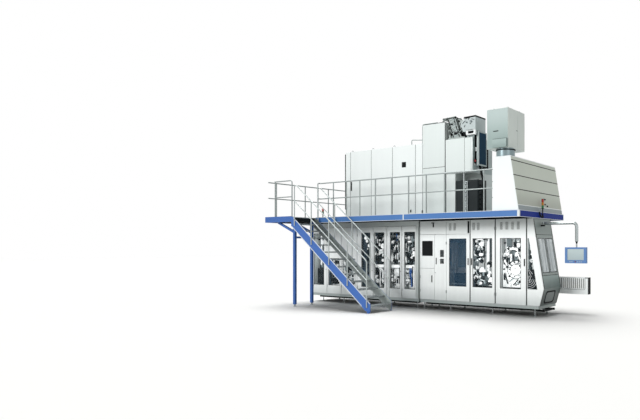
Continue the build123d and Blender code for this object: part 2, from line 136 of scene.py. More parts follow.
# The front and side lights leave the floor out, which keeps the plant's shadow on it soft
front_light = sun("front_light", 1.6, 22.0, (0.42, 1.0, -0.38))
side_light = sun("side_light", 0.34, 30.0, (-0.8, 0.42, -0.2))
sun("top_light", 2.88, 40.0, (0.3, -0.1, -1.0))
not_the_floor = bpy.data.collections.new("lit by the front and side lights")
not_the_floor.objects.link(floor)
not_the_floor.collection_objects[0].light_linking.link_state = "EXCLUDE"
for lamp in (front_light, side_light):
    lamp.light_linking.receiver_collection = not_the_floor


def bay_light(name, left, right, low, high, power):
    """Even working light inside one housing, from just behind its panes."""
    data = bpy.data.lights.new(name, "AREA")
    data.shape = "RECTANGLE"
    data.size = right - left
    data.size_y = high - low
    data.energy = power
    lamp = bpy.data.objects.new(name, data)
    lamp.location = ((left + right) / 2, behind_panes, (low + high) / 2)
    lamp.rotation_euler = (math.radians(90.0), 0.0, 0.0)
    lamp.visible_camera = False
    lamp.visible_glossy = False
    scene.collection.objects.link(lamp)


behind_panes = -0.03
bay_light("left_bay_light", -4.55, -0.28, 0.55, 2.3, 19.0)
bay_light("dosing_bay_light", 0.9, 1.54, 0.75, 2.1, 2.5)
bay_light("right_bay_light", 1.64, 3.62, 0.7, 2.1, 12.0)


# Machine feet
# Round levelling feet: a stainless bell pad on the floor, a threaded stem and a lock nut
# under the base frame. Four pairs carry each half of the machine.
def stainless(name, tone, roughness, metallic, grain, foot_painted_shade=None, painted_shade_tone="8F9896",
        head_painted_shade=None):
    """Ground or bead-blasted stainless sheet: grain along Z, and painted shade at its foot and head.

    Each band of painted shade is given as two levels above the floor and its greatest share.
    """
    material, tree, shader, place = new_material(name)
    stretch = add_node(tree, "ShaderNodeMapping",
        {"Vector": place, "Scale": (grain, grain, grain / 40)})
    brushing = add_node(tree, "ShaderNodeTexNoise",
        {"Vector": stretch.outputs[0], "Scale": 1.0, "Detail": 4.0, "Roughness": 0.6})
    sheet = add_node(tree, "ShaderNodeMix",
        {0: brushing.outputs["Fac"], 6: shade(tone, 0.88), 7: linear(tone)}, data_type="RGBA")
    colour = sheet.outputs[2]
    # Painted shade: the sheet darkens towards its foot and towards its head, where shade falls on it.
    for band, shares in ((foot_painted_shade, (1, 0)), (head_painted_shade, (0, 1))):
        if band:
            start, end, most = band
            level = add_node(tree, "ShaderNodeSeparateXYZ", {0: place})
            painted_shade_share = add_node(tree, "ShaderNodeMapRange", {"Value": level.outputs["Z"], "From Min": start,
                    "From Max": end, "To Min": most * shares[0], "To Max": most * shares[1]},
                interpolation_type="SMOOTHSTEP")
            painted_shade_mix = add_node(tree, "ShaderNodeMix",
                {0: painted_shade_share.outputs["Result"], 6: colour, 7: linear(painted_shade_tone)}, data_type="RGBA")
            colour = painted_shade_mix.outputs[2]
    tree.links.new(colour, shader.inputs["Base Color"])
    gloss = add_node(tree, "ShaderNodeMapRange",
        {"Value": brushing.outputs["Fac"], "To Min": roughness - 0.06, "To Max": roughness + 0.08})
    tree.links.new(gloss.outputs["Result"], shader.inputs["Roughness"])
    relief = add_node(tree, "ShaderNodeBump",
        {"Height": brushing.outputs["Fac"], "Strength": 0.06, "Distance": 0.002})
    tree.links.new(relief.outputs["Normal"], shader.inputs["Normal"])
    shader.inputs["Metallic"].default_value = metallic
    return material


upright = (0.0, 0.0, 1.0)
lengthwise = (1.0, 0.0, 0.0)
inwards = (0.0, 1.0, 0.0)
outwards = (0.0, -1.0, 0.0)


def turned(profile, base, axis=upright, sides=20):
    """Turned shape: a closed profile of (radius, height) pairs spun about an axis, as a mesh."""
    bm = bmesh.new()
    rings = []
    for radius, height in profile:
        if radius < 1e-6:
            rings.append([bm.verts.new((0.0, 0.0, height))])
        else:
            rings.append([bm.verts.new((radius * math.cos(a), radius * math.sin(a), height))
                    for a in (2 * math.pi * i / sides for i in range(sides))])
    for low, high in zip(rings, rings[1:]):
        for i in range(sides):
            corners = [low[i % len(low)], low[(i + 1) % len(low)], high[(i + 1) % len(high)],
                high[i % len(high)]]
            bm.faces.new(list(dict.fromkeys(corners)))
    bmesh.ops.recalc_face_normals(bm, faces=bm.faces)
    mesh = bpy.data.meshes.new("turned")
    bm.to_mesh(mesh)
    bm.free()
    turn = Vector(upright).rotation_difference(Vector(axis)).to_matrix().to_4x4()
    mesh.transform(Matrix.Translation(base) @ turn)
    return mesh


def row_of_parts_tree():
    """Geometry Nodes tree that sets a row of like parts along a straight line."""
    tree = bpy.data.node_groups.new("row of like parts", "GeometryNodeTree")
    tree.interface.new_socket("Geometry", in_out="OUTPUT", socket_type="NodeSocketGeometry")
    for name, kind in (("Part", "Object"), ("Count", "Int"), ("Start", "Vector"), ("Pitch", "Vector"),
            ("Finish", "Material")):
        tree.interface.new_socket(name, in_out="INPUT", socket_type=f"NodeSocket{kind}")
    given = add_node(tree, "NodeGroupInput").outputs
    line = add_node(tree, "GeometryNodeMeshLine",
        {"Count": given["Count"], "Start Location": given["Start"], "Offset": given["Pitch"]})
    part = add_node(tree, "GeometryNodeObjectInfo", {"Object": given["Part"]})
    copies = add_node(tree, "GeometryNodeInstanceOnPoints",
        {"Points": line.outputs["Mesh"], "Instance": part.outputs["Geometry"]})
    real = add_node(tree, "GeometryNodeRealizeInstances", {"Geometry": copies.outputs["Instances"]})
    done = add_node(tree, "GeometryNodeSetMaterial",
        {"Geometry": real.outputs["Geometry"], "Material": given["Finish"]})
    add_node(tree, "NodeGroupOutput", {"Geometry": done.outputs["Geometry"]})
    return tree


def evaluated(tree, settings):
    """Run a Geometry Nodes tree on an empty host and keep its result as a plain mesh."""
    host = bpy.data.objects.new("host", bpy.data.meshes.new("host"))
    scene.collection.objects.link(host)
    modifier = host.modifiers.new("nodes", "NODES")
    modifier.node_group = tree
    sockets = {s.name: s.identifier for s in tree.interface.items_tree if s.in_out == "INPUT"}
    for name, value in settings.items():
        modifier[sockets[name]] = value
    graph = bpy.context.evaluated_depsgraph_get()
    mesh = bpy.data.meshes.new_from_object(host.evaluated_get(graph), depsgraph=graph)
    host.modifiers.remove(modifier)
    bpy.data.objects.remove(host)
    return mesh


row_tree = row_of_parts_tree()


def row(part_mesh, count, start, pitch, finish):
    """Set count copies of a small mesh along a line."""
    part = bpy.data.objects.new("part", part_mesh)
    scene.collection.objects.link(part)
    mesh = evaluated(row_tree,
        {"Part": part, "Count": count, "Start": start, "Pitch": pitch, "Finish": finish})
    bpy.data.objects.remove(part)
    return mesh


def piece(name, meshes, material, body="machine", replaced=()):
    """Join finished meshes into one named piece, and give it its finish and its body."""
    bm = bmesh.new()
    for mesh in meshes:
        bm.from_mesh(mesh)
        bpy.data.meshes.remove(mesh)
    joined = bpy.data.meshes.new(name)
    bm.to_mesh(joined)
    bm.free()
    joined.materials.clear()
    joined.materials.append(material)
    joined.polygons.foreach_set("material_index", [0] * len(joined.polygons))
    joined.polygons.foreach_set("use_smooth", [True] * len(joined.polygons))
    joined.set_sharp_from_angle(angle=math.radians(34.0))
    made = bpy.data.objects.new(name, joined)
    scene.collection.objects.link(made)
    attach(made, body)
    if replaced:
        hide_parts(*replaced)
    return made


def refinish(node, material):
    """Give a CAD node that stays in view its real finish."""
    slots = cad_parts[node].data.materials
    slots.clear()
    slots.append(material)


turned_steel = stainless("turned stainless steel", "A2A9A8", 0.32, 0.6, 90.0)

pad_radius = 0.046
stem_radius = 0.015
foot_height = 0.2
foot_stations = (-4.26, -3.324, -1.825, -0.331, -0.065, 0.86, 2.231, 3.499)
foot_rows = (0.1, 0.88)

foot_profile = ((0.0, 0.0), (pad_radius, 0.0), (pad_radius, 0.01), (0.034, 0.018), (0.022, 0.034),
    (stem_radius, 0.04), (stem_radius, 0.15), (0.024, 0.152), (0.026, 0.16), (0.024, 0.172),
    (stem_radius, 0.174), (stem_radius, foot_height), (0.0, foot_height))
feet = []
for station in foot_stations:
    foot = turned(foot_profile, (0.0, 0.0, 0.0))
    feet.append(row(foot, 2, (station, foot_rows[0], 0.0), (0.0, foot_rows[1] - foot_rows[0], 0.0),
            turned_steel))
piece("levelling_feet", feet, turned_steel, replaced=("machine_feet",))


# Base frames
# Two welded hollow-section frames, one under each housing, in bead-blasted stainless. A bright
# drip edge runs along the front of each.
bead_blasted = stainless("bead-blasted stainless frame", "98A2A0", 0.5, 0.35, 14.0)
refinish("base_frames", bead_blasted)


def rounded(points, radius, closed=True, steps=4):
    """Round the corners of a run of points, flat or in space."""
    points = [Vector(p) for p in points]
    count = len(points)
    run = []
    for i, corner in enumerate(points):
        if radius <= 0.0 or (not closed and i in (0, count - 1)):
            run.append(corner)
            continue
        before = points[i - 1] - corner
        after = points[(i + 1) % count] - corner
        reach = min(radius, before.length * 0.45, after.length * 0.45)
        a = corner + before.normalized() * reach
        b = corner + after.normalized() * reach
        for s in (k / steps for k in range(steps + 1)):
            run.append(a * (1 - s) ** 2 + corner * 2 * s * (1 - s) + b * s ** 2)
    return run


thin_bevel = 0.0005


def plate(outline, thickness, place, holes=(), corner=0.0, bevel=0.0015):
    """Flat sheet with soft edges, cut to an outline with holes and set in its place, as a mesh."""
    curve = bpy.data.curves.new("plate", "CURVE")
    curve.dimensions = "2D"
    curve.fill_mode = "BOTH"
    curve.extrude = thickness / 2 - bevel
    curve.bevel_depth = bevel
    curve.bevel_resolution = 1
    curve.offset = -bevel
    for loop in (outline, *holes):
        run = rounded([(u, v, 0.0) for u, v in loop], corner)
        spline = curve.splines.new("POLY")
        spline.points.add(len(run) - 1)
        for knot, point in zip(spline.points, run):
            knot.co = (*point, 1.0)
        spline.use_cyclic_u = True
    cut = bpy.data.objects.new("plate", curve)
    mesh = bpy.data.meshes.new_from_object(cut)
    bpy.data.objects.remove(cut)
    bpy.data.curves.remove(curve)
    mesh.transform(place)
    return mesh


def facing_front(front, thickness):
    """Place for a plate drawn in X and Z whose face looks to the operator's side."""
    return Matrix.Translation((0.0, front + thickness / 2, 0.0)) @ Matrix.Rotation(math.pi / 2, 4, "X")


def facing_up(top, thickness):
    """Place for a plate drawn in X and Y."""
    return Matrix.Translation((0.0, 0.0, top - thickness / 2))


def facing_end(end, thickness):
    """Place for a plate drawn in Y and Z whose face looks to the outfeed end."""
    turn = Matrix(((0, 0, 1, 0), (1, 0, 0, 0), (0, 1, 0, 0), (0, 0, 0, 1)))
    return Matrix.Translation((end - thickness / 2, 0.0, 0.0)) @ turn


def rectangle(left, right, low, high):
    """Corners of an upright rectangle."""
    return [(left, low), (right, low), (right, high), (left, high)]


def front_plate(outline, front, thickness, **how):
    """Plate cut to an outline, with its face to the operator."""
    return plate(outline, thickness, facing_front(front, thickness), **how)


def front_sheet(left, right, low, high, front, thickness, **how):
    """Upright sheet with its face to the operator."""
    return front_plate(rectangle(left, right, low, high), front, thickness, **how)


def outfeed_sheet(near, far, low, high, end, thickness, **how):
    """Upright sheet with its face to the outfeed end."""
    return plate(rectangle(near, far, low, high), thickness, facing_end(end, thickness), **how)


def leaning_sheet(face, near, far, low, high, thickness, proud=0.0, corner=0.0, bevel=0.0015, holes=()):
    """Sheet on a face that leans: its line's x and z, its angle, and the height drawn on that line."""
    x, z, angle, drawn = face
    place = (Matrix.Translation((x, 0.0, z)) @ Matrix.Rotation(angle, 4, "Y")
        @ Matrix.Translation((proud - thickness / 2, 0.0, -drawn)) @ facing_end(0.0, 0.0))
    return plate(rectangle(near, far, low, high), thickness, place, holes, corner, bevel)


def block(low, high, bevel=0.003):
    """Solid bar or box with softened edges."""
    return plate(rectangle(low[0], high[0], low[1], high[1]), high[2] - low[2],
        facing_up(high[2], high[2] - low[2]), bevel=bevel)


drip_spans = ((-4.581, -0.167), (-0.112, 3.672))
piece("base_drip_edges",
    [front_sheet(left, right, 0.256, 0.284, -0.071, 0.016) for left, right in drip_spans], turned_steel)


# Housings
# Welded stainless shells. Round every door opening runs a black rubber seal, which shows as a
# dark line in the gaps between the doors. Painted stiles and mullions close the shell round it.
# Painted shade at the foot of both sheets, and the walkway deck's shadow painted across their head.
door_stainless = stainless("ground stainless door sheet", "EDF1F0", 0.38, 0.2, 7.0, (0.28, 0.75, 0.45),
    "98A2A0", (1.95, 2.6, 0.55))
shell_stainless = stainless("ground stainless shell", "D3DAD8", 0.4, 0.2, 7.0, (0.3, 1.4, 0.4),
    "8F9896", (2.0, 2.6, 0.5))
refinish("left_housing", shell_stainless)
refinish("right_housing", shell_stainless)


def moulded_rubber(name, tone):
    """Moulded rubber or matt plastic: dark, with a fine grain and a few scuffs."""
    material, tree, shader, place = new_material(name)
    scuffs = add_node(tree, "ShaderNodeTexNoise", {"Vector": place, "Scale": 14.0, "Detail": 5.0})
    colour = add_node(tree, "ShaderNodeMix",
        {0: scuffs.outputs["Fac"], 6: linear(tone), 7: shade(tone, 1.6)}, data_type="RGBA")
    tree.links.new(colour.outputs[2], shader.inputs["Base Color"])
    grain = add_node(tree, "ShaderNodeTexNoise", {"Vector": place, "Scale": 700.0})
    relief = add_node(tree, "ShaderNodeBump",
        {"Height": grain.outputs["Fac"], "Strength": 0.12, "Distance": 0.0006})
    tree.links.new(relief.outputs["Normal"], shader.inputs["Normal"])
    shader.inputs["Roughness"].default_value = 0.7
    shader.inputs["Specular IOR Level"].default_value = 0.15
    return material


black_rubber = moulded_rubber("black seal rubber", "0C0F10")
seal_front = -0.0435
left_seams = (-4.581, -3.928, -3.282, -2.595, -1.923, -1.377, -0.795, -0.259)
right_seams = (-0.112, 0.404, 0.818, 1.611, 2.406, 3.338)
door_sill = 0.29
left_door_head = 2.45
right_door_head = 2.58
thin_gap = 0.004
wide_gap = 0.018
seal_half = 0.015
seal_depth = 0.005
seals = []
for seam_x, head in ([(x, left_door_head) for x in left_seams[1:]]
        + [(x, right_door_head) for x in right_seams[1:3]]):
    seals.append(
        front_sheet(seam_x - seal_half, seam_x + seal_half, door_sill, head, seal_front, seal_depth))
for left, right, level in ((left_seams[0], left_seams[-1], left_door_head + 0.004),
        (right_seams[0], right_seams[-1] + 0.16, right_door_head + 0.01)):
    seals.append(
        front_sheet(left + 0.01, right - 0.01, level - 0.012, level + 0.01, seal_front, seal_depth))
piece("door_seals", seals, black_rubber)
grey_rubber = moulded_rubber("grey seal rubber", "3A3F3E")
piece("wide_door_seals",
    [front_sheet(x - 0.024, x + 0.024, door_sill, right_door_head, seal_front - 0.012, 0.005)
        for x in right_seams[3:]], grey_rubber)


# Machinery behind the panes
# Cut-away views of the real working parts: guide columns, cylinders, clamps, cams and hoses in
# chrome and white enamel, with black gaps between them. Coordinates are those seen in each pane.
white_enamel, tree, shader, place = new_material("white machine enamel")
tint = add_node(tree, "ShaderNodeTexNoise", {"Vector": place, "Scale": 6.0, "Detail": 4.0})
enamel = add_node(tree, "ShaderNodeMix",
    {0: tint.outputs["Fac"], 6: linear("E2E8E7"), 7: linear("FFFFFF")}, data_type="RGBA")
tree.links.new(enamel.outputs[2], shader.inputs["Base Color"])
shader.inputs["Roughness"].default_value = 0.35
bright_chrome = stainless("ground and plated steel parts", "B9C1C2", 0.22, 0.7, 60.0)
black_plastic = moulded_rubber("black engineering plastic", "090C0D")
blue_plastic = moulded_rubber("blue detectable plastic", "24477C")


def tube(points, radius, bend=0.0, sides=12, steps=5):
    """Round tube through a run of points, bent at its corners and closed at its ends, as a mesh."""
    curve = bpy.data.curves.new("tube", "CURVE")
    curve.dimensions = "3D"
    curve.bevel_depth = radius
    curve.bevel_resolution = max(0, (sides - 4) // 2)
    curve.use_fill_caps = True
    run = rounded(points, bend, closed=False, steps=steps)
    spline = curve.splines.new("POLY")
    spline.points.add(len(run) - 1)
    for knot, point in zip(spline.points, run):
        knot.co = (*point, 1.0)
    bent = bpy.data.objects.new("tube", curve)
    mesh = bpy.data.meshes.new_from_object(bent)
    bpy.data.objects.remove(bent)
    bpy.data.curves.remove(curve)
    return mesh


def roller(radius, length, base, axis):
    """Roller or cylinder with a shouldered cap at each end."""
    lip = min(0.012, length * 0.2)
    return turned(((0.0, 0.0), (radius * 0.55, 0.0), (radius * 0.55, lip), (radius, lip),
            (radius, length - lip), (radius * 0.55, length - lip), (radius * 0.55, length),
            (0.0, length)), base, axis, sides=16)


def powder_coat(name, tone, roughness=0.38, low_tone=None, gloss=0.5):
    """Powder-coated sheet: fine orange peel, and a faint drift of tone over a metre or so."""
    material, tree, shader, place = new_material(name)
    drift = add_node(tree, "ShaderNodeTexNoise", {"Vector": place, "Scale": 1.1, "Detail": 4.0})
    dark = linear(low_tone) if low_tone else shade(tone, 0.86)
    colour = add_node(tree, "ShaderNodeMix", {0: drift.outputs["Fac"], 6: dark, 7: linear(tone)},
        data_type="RGBA")
    tree.links.new(colour.outputs[2], shader.inputs["Base Color"])
    peel = add_node(tree, "ShaderNodeTexNoise", {"Vector": place, "Scale": 500.0})
    relief = add_node(tree, "ShaderNodeBump",
        {"Height": peel.outputs["Fac"], "Strength": 0.08, "Distance": 0.0008})
    tree.links.new(relief.outputs["Normal"], shader.inputs["Normal"])
    shader.inputs["Roughness"].default_value = roughness
    shader.inputs["Specular IOR Level"].default_value = gloss
    return material


def toothed_disc(radius, thickness, teeth, centre, hub=0.3, depth=0.14):
    """Cam or pocket wheel: a plate with teeth round its rim and a hub hole, facing the operator."""
    rim = []
    for i in range(teeth * 4):
        reach = radius if i % 4 < 2 else radius * (1 - depth)
        angle = 2 * math.pi * i / (teeth * 4)
        rim.append((centre[0] + reach * math.cos(angle), centre[2] + reach * math.sin(angle)))
    bore = [(centre[0] + radius * hub * math.cos(a), centre[2] + radius * hub * math.sin(a))
        for a in (2 * math.pi * i / 24 for i in range(24))]
    return front_plate(rim, centre[1], thickness, holes=(bore,), bevel=0.001)


def arc(centre, radius, degrees, tall=None):
    """Points along an arc seen from the front, turning anticlockwise from the right."""
    return [(centre[0] + radius * math.cos(math.radians(a)), centre[1],
            centre[2] + (tall or radius) * math.sin(math.radians(a))) for a in degrees]


def bars(y, radius, *ends, sides=8):
    """Straight bars seen from the front, each as x and z of its two ends."""
    return [tube([(x, y, z), (x_end, y, z_end)], radius, sides=sides) for x, z, x_end, z_end in ends]


working_parts = {tone: [] for tone in ("white", "bright", "black", "blue", "slate", "navy")}


def fit(tone, mesh):
    """Add one finished fitting to the working parts of its tone."""
    working_parts[tone].append(mesh)


def boxes(tone, *spans):
    """Add boxes of one tone, each as left, right, low, high, front and depth."""
    for left, right, low, high, front, depth in spans:
        fit(tone, block((left, front, low), (right, front + depth, high)))


def rods(tone, *spans):
    """Add upright rods or cylinders, each as x, low, high, radius and y."""
    for x, low, high, radius, y in spans:
        fit(tone, roller(radius, high - low, (x, y, low), upright))


def small_parts(left, right, low, high, front, count, seed, tones=("white", "black", "bright")):
    """Scatter the small fittings of one area: nuts, clamps, rollers, cams and short hoses."""
    pick = random.Random(seed)
    for _ in range(count):
        tone = pick.choice(tones)
        wide = pick.uniform(0.03, 0.1)
        tall = pick.uniform(0.03, 0.11)
        x = pick.uniform(left, right - wide)
        z = pick.uniform(low, high - tall)
        y = front + pick.uniform(0.0, 0.1)
        kind = pick.random()
        if kind < 0.35:
            mesh = block((x, y, z), (x + wide, y + 0.05, z + tall))
        elif kind < 0.6:
            mesh = roller(tall / 2, wide * 1.4, (x, y, z + tall / 2), lengthwise)
        elif kind < 0.8:
            mesh = roller(wide / 2, tall * 1.6, (x, y, z), upright)
        elif kind < 0.92:
            mesh = toothed_disc(tall * 0.7, 0.02, 8, (x + wide / 2, y, z + tall / 2))
        else:
            mesh = tube([(x, y, z), (x, y - 0.03, z + tall), (x + wide * 1.5, y, z + tall * 1.5)],
                0.008, bend=0.05, sides=8)
        fit(tone, mesh)


# Left machine: pale back wall with dark bays, a cross rail at waist height and guide columns
boxes("white", (-4.495, -0.255, 0.32, 2.44, 0.62, 0.4))
boxes("navy", (-4.56, -4.04, 0.5, 1.3, 0.2, 0.05), (-2.28, -1.98, 0.5, 1.8, 0.2, 0.05),
    (-2.46, -2.33, 1.2, 2.32, 0.34, 0.05), (-2.46, -1.98, 2.12, 2.32, 0.3, 0.05))
boxes("slate", (-4.56, -4.04, 1.3, 2.32, 0.4, 0.05), (-2.46, -1.98, 0.5, 2.32, 0.4, 0.05),
    (-3.9, -3.6, 0.95, 1.5, 0.4, 0.05), (-3.25, -2.94, 0.95, 1.5, 0.4, 0.05))
boxes("navy", (-3.02, -2.48, 0.5, 2.32, 0.56, 0.05), (-2.44, -2.3, 0.5, 2.2, 0.06, 0.03))
boxes("white", (-3.9, -3.34, 0.5, 2.2, 0.18, 0.04), (-3.26, -2.66, 0.5, 2.2, 0.18, 0.04))
small_parts(-3.9, -3.4, 0.55, 1.6, 0.02, 30, 21, ("black", "black", "slate"))
small_parts(-3.24, -2.7, 0.55, 1.6, 0.02, 30, 22, ("black", "black", "slate"))
small_parts(-2.4, -2.02, 0.6, 2.2, 0.02, 26, 23, ("black", "navy", "white"))
for number, post in enumerate((-1.93, -1.3, -0.75)):
    small_parts(post - 0.06, post + 0.13, 1.32, 2.16, 0.05, 26, 24 + number,
        ("white", "black", "black"))
    small_parts(post - 0.06, post + 0.13, 0.62, 1.14, 0.08, 14, 34 + number,
        ("white", "white", "black"))
for left, right in ((-1.93, -1.43), (-1.29, -0.82), (-0.74, -0.26)):
    boxes("white", (left, right, 1.185, 1.275, 0.05, 0.05))
    boxes("black", (left, right, 2.19, 2.32, 0.22, 0.05))
    boxes("slate", (left, left + 0.16, 0.5, 2.19, 0.48, 0.05),
        (right - 0.1, right, 1.27, 2.19, 0.48, 0.05))
boxes("black", (-4.53, -4.3, 0.6, 1.1, 0.1, 0.1), (-3.84, -3.66, 0.6, 0.9, 0.1, 0.1))
rods("slate", (-2.3, 1.75, 2.12, 0.045, 0.2), (-4.2, 0.6, 2.2, 0.05, 0.2))
rods("white", (-2.12, 1.98, 2.16, 0.03, 0.2), (-4.4, 1.2, 2.2, 0.03, 0.15),
    (-3.6, 0.56, 1.46, 0.04, 0.2), (-3.42, 0.56, 1.46, 0.025, 0.14), (-3.05, 0.56, 1.46, 0.04, 0.2),
    (-2.8, 0.56, 1.46, 0.03, 0.14))
small_parts(-3.86, -3.36, 0.56, 1.45, 0.12, 22, 2)
small_parts(-3.21, -2.68, 0.56, 1.45, 0.12, 22, 3)
small_parts(-4.53, -4.07, 1.1, 2.27, 0.12, 16, 1, ("slate", "black", "white"))
small_parts(-2.4, -2.05, 0.6, 1.75, 0.16, 12, 4, ("slate", "black", "black", "bright"))

# Fifth bay: filling columns above the rail, a dark pump box below it
boxes("black", (-1.875, -1.72, 2.17, 2.255, 0.08, 0.08), (-1.65, -1.49, 2.2, 2.26, 0.08, 0.08),
    (-1.875, -1.795, 1.56, 1.93, 0.14, 0.1), (-1.56, -1.48, 1.95, 2.13, 0.14, 0.1),
    (-1.72, -1.48, 1.3, 1.52, 0.12, 0.06), (-1.875, -1.815, 0.84, 1.18, 0.1, 0.06),
    (-1.725, -1.48, 0.64, 1.13, 0.1, 0.06))
boxes("white", (-1.87, -1.64, 1.88, 2.12, 0.2, 0.1), (-1.8, -1.74, 0.58, 1.19, 0.1, 0.06))
rods("white", (-1.625, 1.7, 2.19, 0.03, 0.14), (-1.64, 0.68, 1.11, 0.028, 0.07),
    (-1.69, 1.52, 1.9, 0.022, 0.12), (-1.54, 1.52, 1.9, 0.022, 0.12))
for x in (-1.665, -1.56):
    fit("white", toothed_disc(0.048, 0.03, 12, (x, 0.08, 1.41)))
small_parts(-1.86, -1.5, 1.52, 2.16, 0.06, 34, 5, ("white", "black", "black", "white"))
small_parts(-1.72, -1.5, 0.6, 1.14, 0.04, 12, 15, ("white", "black", "slate"))

# Sixth bay: two pairs of cylinders above the rail, an enclosed drive with valves below it
boxes("black", (-1.235, -1.135, 2.19, 2.26, 0.08, 0.06), (-1.055, -0.945, 2.19, 2.26, 0.08, 0.06),
    (-1.225, -1.115, 1.97, 2.08, 0.1, 0.06), (-0.985, -0.89, 1.99, 2.08, 0.1, 0.06),
    (-1.165, -1.025, 1.9, 1.97, 0.1, 0.06), (-1.245, -1.135, 1.31, 1.66, 0.1, 0.08),
    (-1.12, -1.035, 1.31, 1.49, 0.1, 0.08), (-1.12, -1.035, 1.66, 1.84, 0.1, 0.08),
    (-0.995, -0.885, 1.31, 1.86, 0.1, 0.08))
boxes("white", (-1.205, -1.08, 1.73, 1.89, 0.08, 0.1), (-1.245, -0.865, 0.56, 1.18, 0.16, 0.1),
    (-1.215, -0.885, 1.01, 1.15, 0.12, 0.04), (-1.245, -0.865, 2.08, 2.18, 0.16, 0.06))
boxes("black", (-1.23, -1.19, 0.87, 0.92, 0.12, 0.04), (-1.12, -1.05, 0.865, 0.925, 0.12, 0.04),
    (-0.985, -0.94, 0.81, 0.925, 0.12, 0.04), (-1.025, -0.96, 0.61, 0.79, 0.12, 0.04),
    (-1.14, -1.11, 0.7, 0.83, 0.12, 0.04))
rods("blue", (-1.085, 1.99, 2.23, 0.016, 0.05))
rods("bright", (-1.025, 1.31, 1.98, 0.016, 0.06), (-0.915, 1.86, 2.18, 0.02, 0.1),
    (-1.19, 1.48, 1.73, 0.02, 0.1))
small_parts(-1.23, -0.88, 1.3, 2.15, 0.05, 34, 6, ("white", "white", "black", "black"))

# Seventh bay: a dark head, a bright chute, and blue hoses down to the floor pan
boxes("black", (-0.7, -0.295, 2.17, 2.275, 0.06, 0.1), (-0.59, -0.33, 1.68, 2.18, 0.14, 0.08),
    (-0.685, -0.51, 1.29, 1.58, 0.08, 0.08), (-0.41, -0.295, 1.18, 1.35, 0.08, 0.08))
boxes("white", (-0.685, -0.615, 1.96, 2.15, 0.08, 0.08), (-0.69, -0.42, 0.56, 1.19, 0.16, 0.08),
    (-0.495, -0.425, 0.6, 1.29, 0.08, 0.06))
boxes("slate", (-0.41, -0.295, 0.6, 1.18, 0.12, 0.06), (-0.56, -0.52, 1.7, 2.16, 0.1, 0.04),
    (-0.43, -0.395, 1.7, 2.16, 0.1, 0.04))
boxes("black", *[(-0.655, -0.625, 0.68 + 0.062 * k, 0.706 + 0.062 * k, 0.12, 0.03) for k in range(6)])
for tone, low, high, x, z, lean in (
        ("white", (-0.11, 0.05, -0.035), (0.11, 0.11, 0.035), -0.375, 1.5, 38.0),
        ("black", (-0.1, 0.03, -0.012), (0.1, 0.06, 0.012), -0.4, 1.42, 22.0)):
    chute = block(low, high)
    chute.transform(Matrix.Translation((x, 0.0, z)) @ Matrix.Rotation(math.radians(lean), 4, "Y"))
    fit(tone, chute)
for shift in (0.0, 0.045):
    fit("blue", tube([(-0.59 + shift, 0.06, 1.19), (-0.575 + shift, 0.04, 0.95), (-0.53 + shift / 2,
                0.06, 0.86), (-0.53 + shift / 2, 0.06, 0.62)], 0.015, bend=0.08, sides=8))
boxes("blue", (-0.6, -0.52, 1.02, 1.13, 0.05, 0.05))
small_parts(-0.68, -0.32, 1.3, 2.16, 0.04, 34, 7, ("black", "black", "white", "slate"))
boxes("black",
    *[(x, x + 0.018, low, high, 0.005, 0.02) for x, low, high in ((-1.8, 1.3, 2.2), (-1.69, 0.62, 1.12),
            (-1.56, 1.42, 2.1), (-1.19, 0.62, 1.16), (-1.08, 1.3, 2.16), (-0.96, 0.7, 1.2),
            (-0.66, 1.3, 2.1), (-0.46, 0.62, 1.24), (2.02, 1.2, 2.12), (2.21, 1.16, 1.62))])

# Right machine: pale walls, and a dim dosing bay with one cross rail behind the tinted door
boxes("white", (-0.06, 3.385, 0.32, 2.48, 0.62, 0.4), (1.64, 2.37, 0.64, 2.3, 0.36, 0.2),
    (2.49, 3.3, 0.64, 2.3, 0.37, 0.2))
boxes("slate", (0.86, 1.56, 1.11, 2.12, 0.5, 0.04))
boxes("black", (0.86, 1.56, 0.5, 1.11, 0.4, 0.04), (0.56, 0.77, 1.3, 1.78, 0.2, 0.04))
boxes("white", (0.9, 1.52, 1.09, 1.118, -0.03, 0.03), (0.93, 1.48, 0.77, 0.785, -0.03, 0.02),
    (0.985, 0.997, 1.3, 1.64, -0.03, 0.02), (1.47, 1.49, 1.42, 1.52, -0.03, 0.02),
    (1.44, 1.52, 1.36, 1.39, -0.03, 0.02), (0.96, 1.02, 1.24, 1.262, -0.03, 0.02))
boxes("white", (1.18, 1.42, 1.115, 1.24, -0.03, 0.12), (0.64, 0.72, 1.58, 1.7, 0.1, 0.04))
boxes("navy", (0.9, 1.52, 1.96, 2.06, 0.0, 0.3), (0.86, 1.56, 0.5, 1.08, 0.3, 0.04))
rods("bright", (1.01, 1.34, 1.66, 0.012, 0.1), (1.01, 1.15, 1.34, 0.03, 0.1),
    (1.3, 1.5, 1.8, 0.012, 0.1), (0.67, 1.36, 1.44, 0.02, 0.08))

# Forming bay: a stack of clamps, guide columns, a cam and a bent rail
boxes("slate", (1.97, 2.2, 1.44, 2.12, 0.34, 0.04), (1.68, 2.06, 0.64, 1.16, 0.3, 0.04))
boxes("white", (2.05, 2.33, 0.74, 1.13, 0.2, 0.06), (1.72, 1.96, 1.72, 2.02, 0.18, 0.08),
    (1.74, 1.94, 1.44, 1.62, 0.18, 0.08), (1.7, 1.9, 2.02, 2.08, 0.12, 0.06))
boxes("black", (1.68, 2.33, 0.64, 0.735, 0.1, 0.06), (1.69, 1.74, 1.4, 2.08, 0.24, 0.06),
    (1.7, 1.96, 2.075, 2.13, 0.1, 0.06))
boxes("white", (2.275, 2.335, 1.14, 2.13, 0.18, 0.05), (1.99, 2.05, 1.44, 2.0, 0.2, 0.05))
rods("white", (2.085, 1.66, 2.12, 0.02, 0.14), (2.065, 1.4, 1.67, 0.042, 0.14),
    (2.235, 1.12, 2.12, 0.06, 0.16))
fit("black", roller(0.085, 0.06, (2.14, 0.08, 1.345), inwards))
fit("white", roller(0.035, 0.04, (2.12, 0.05, 1.3), inwards))
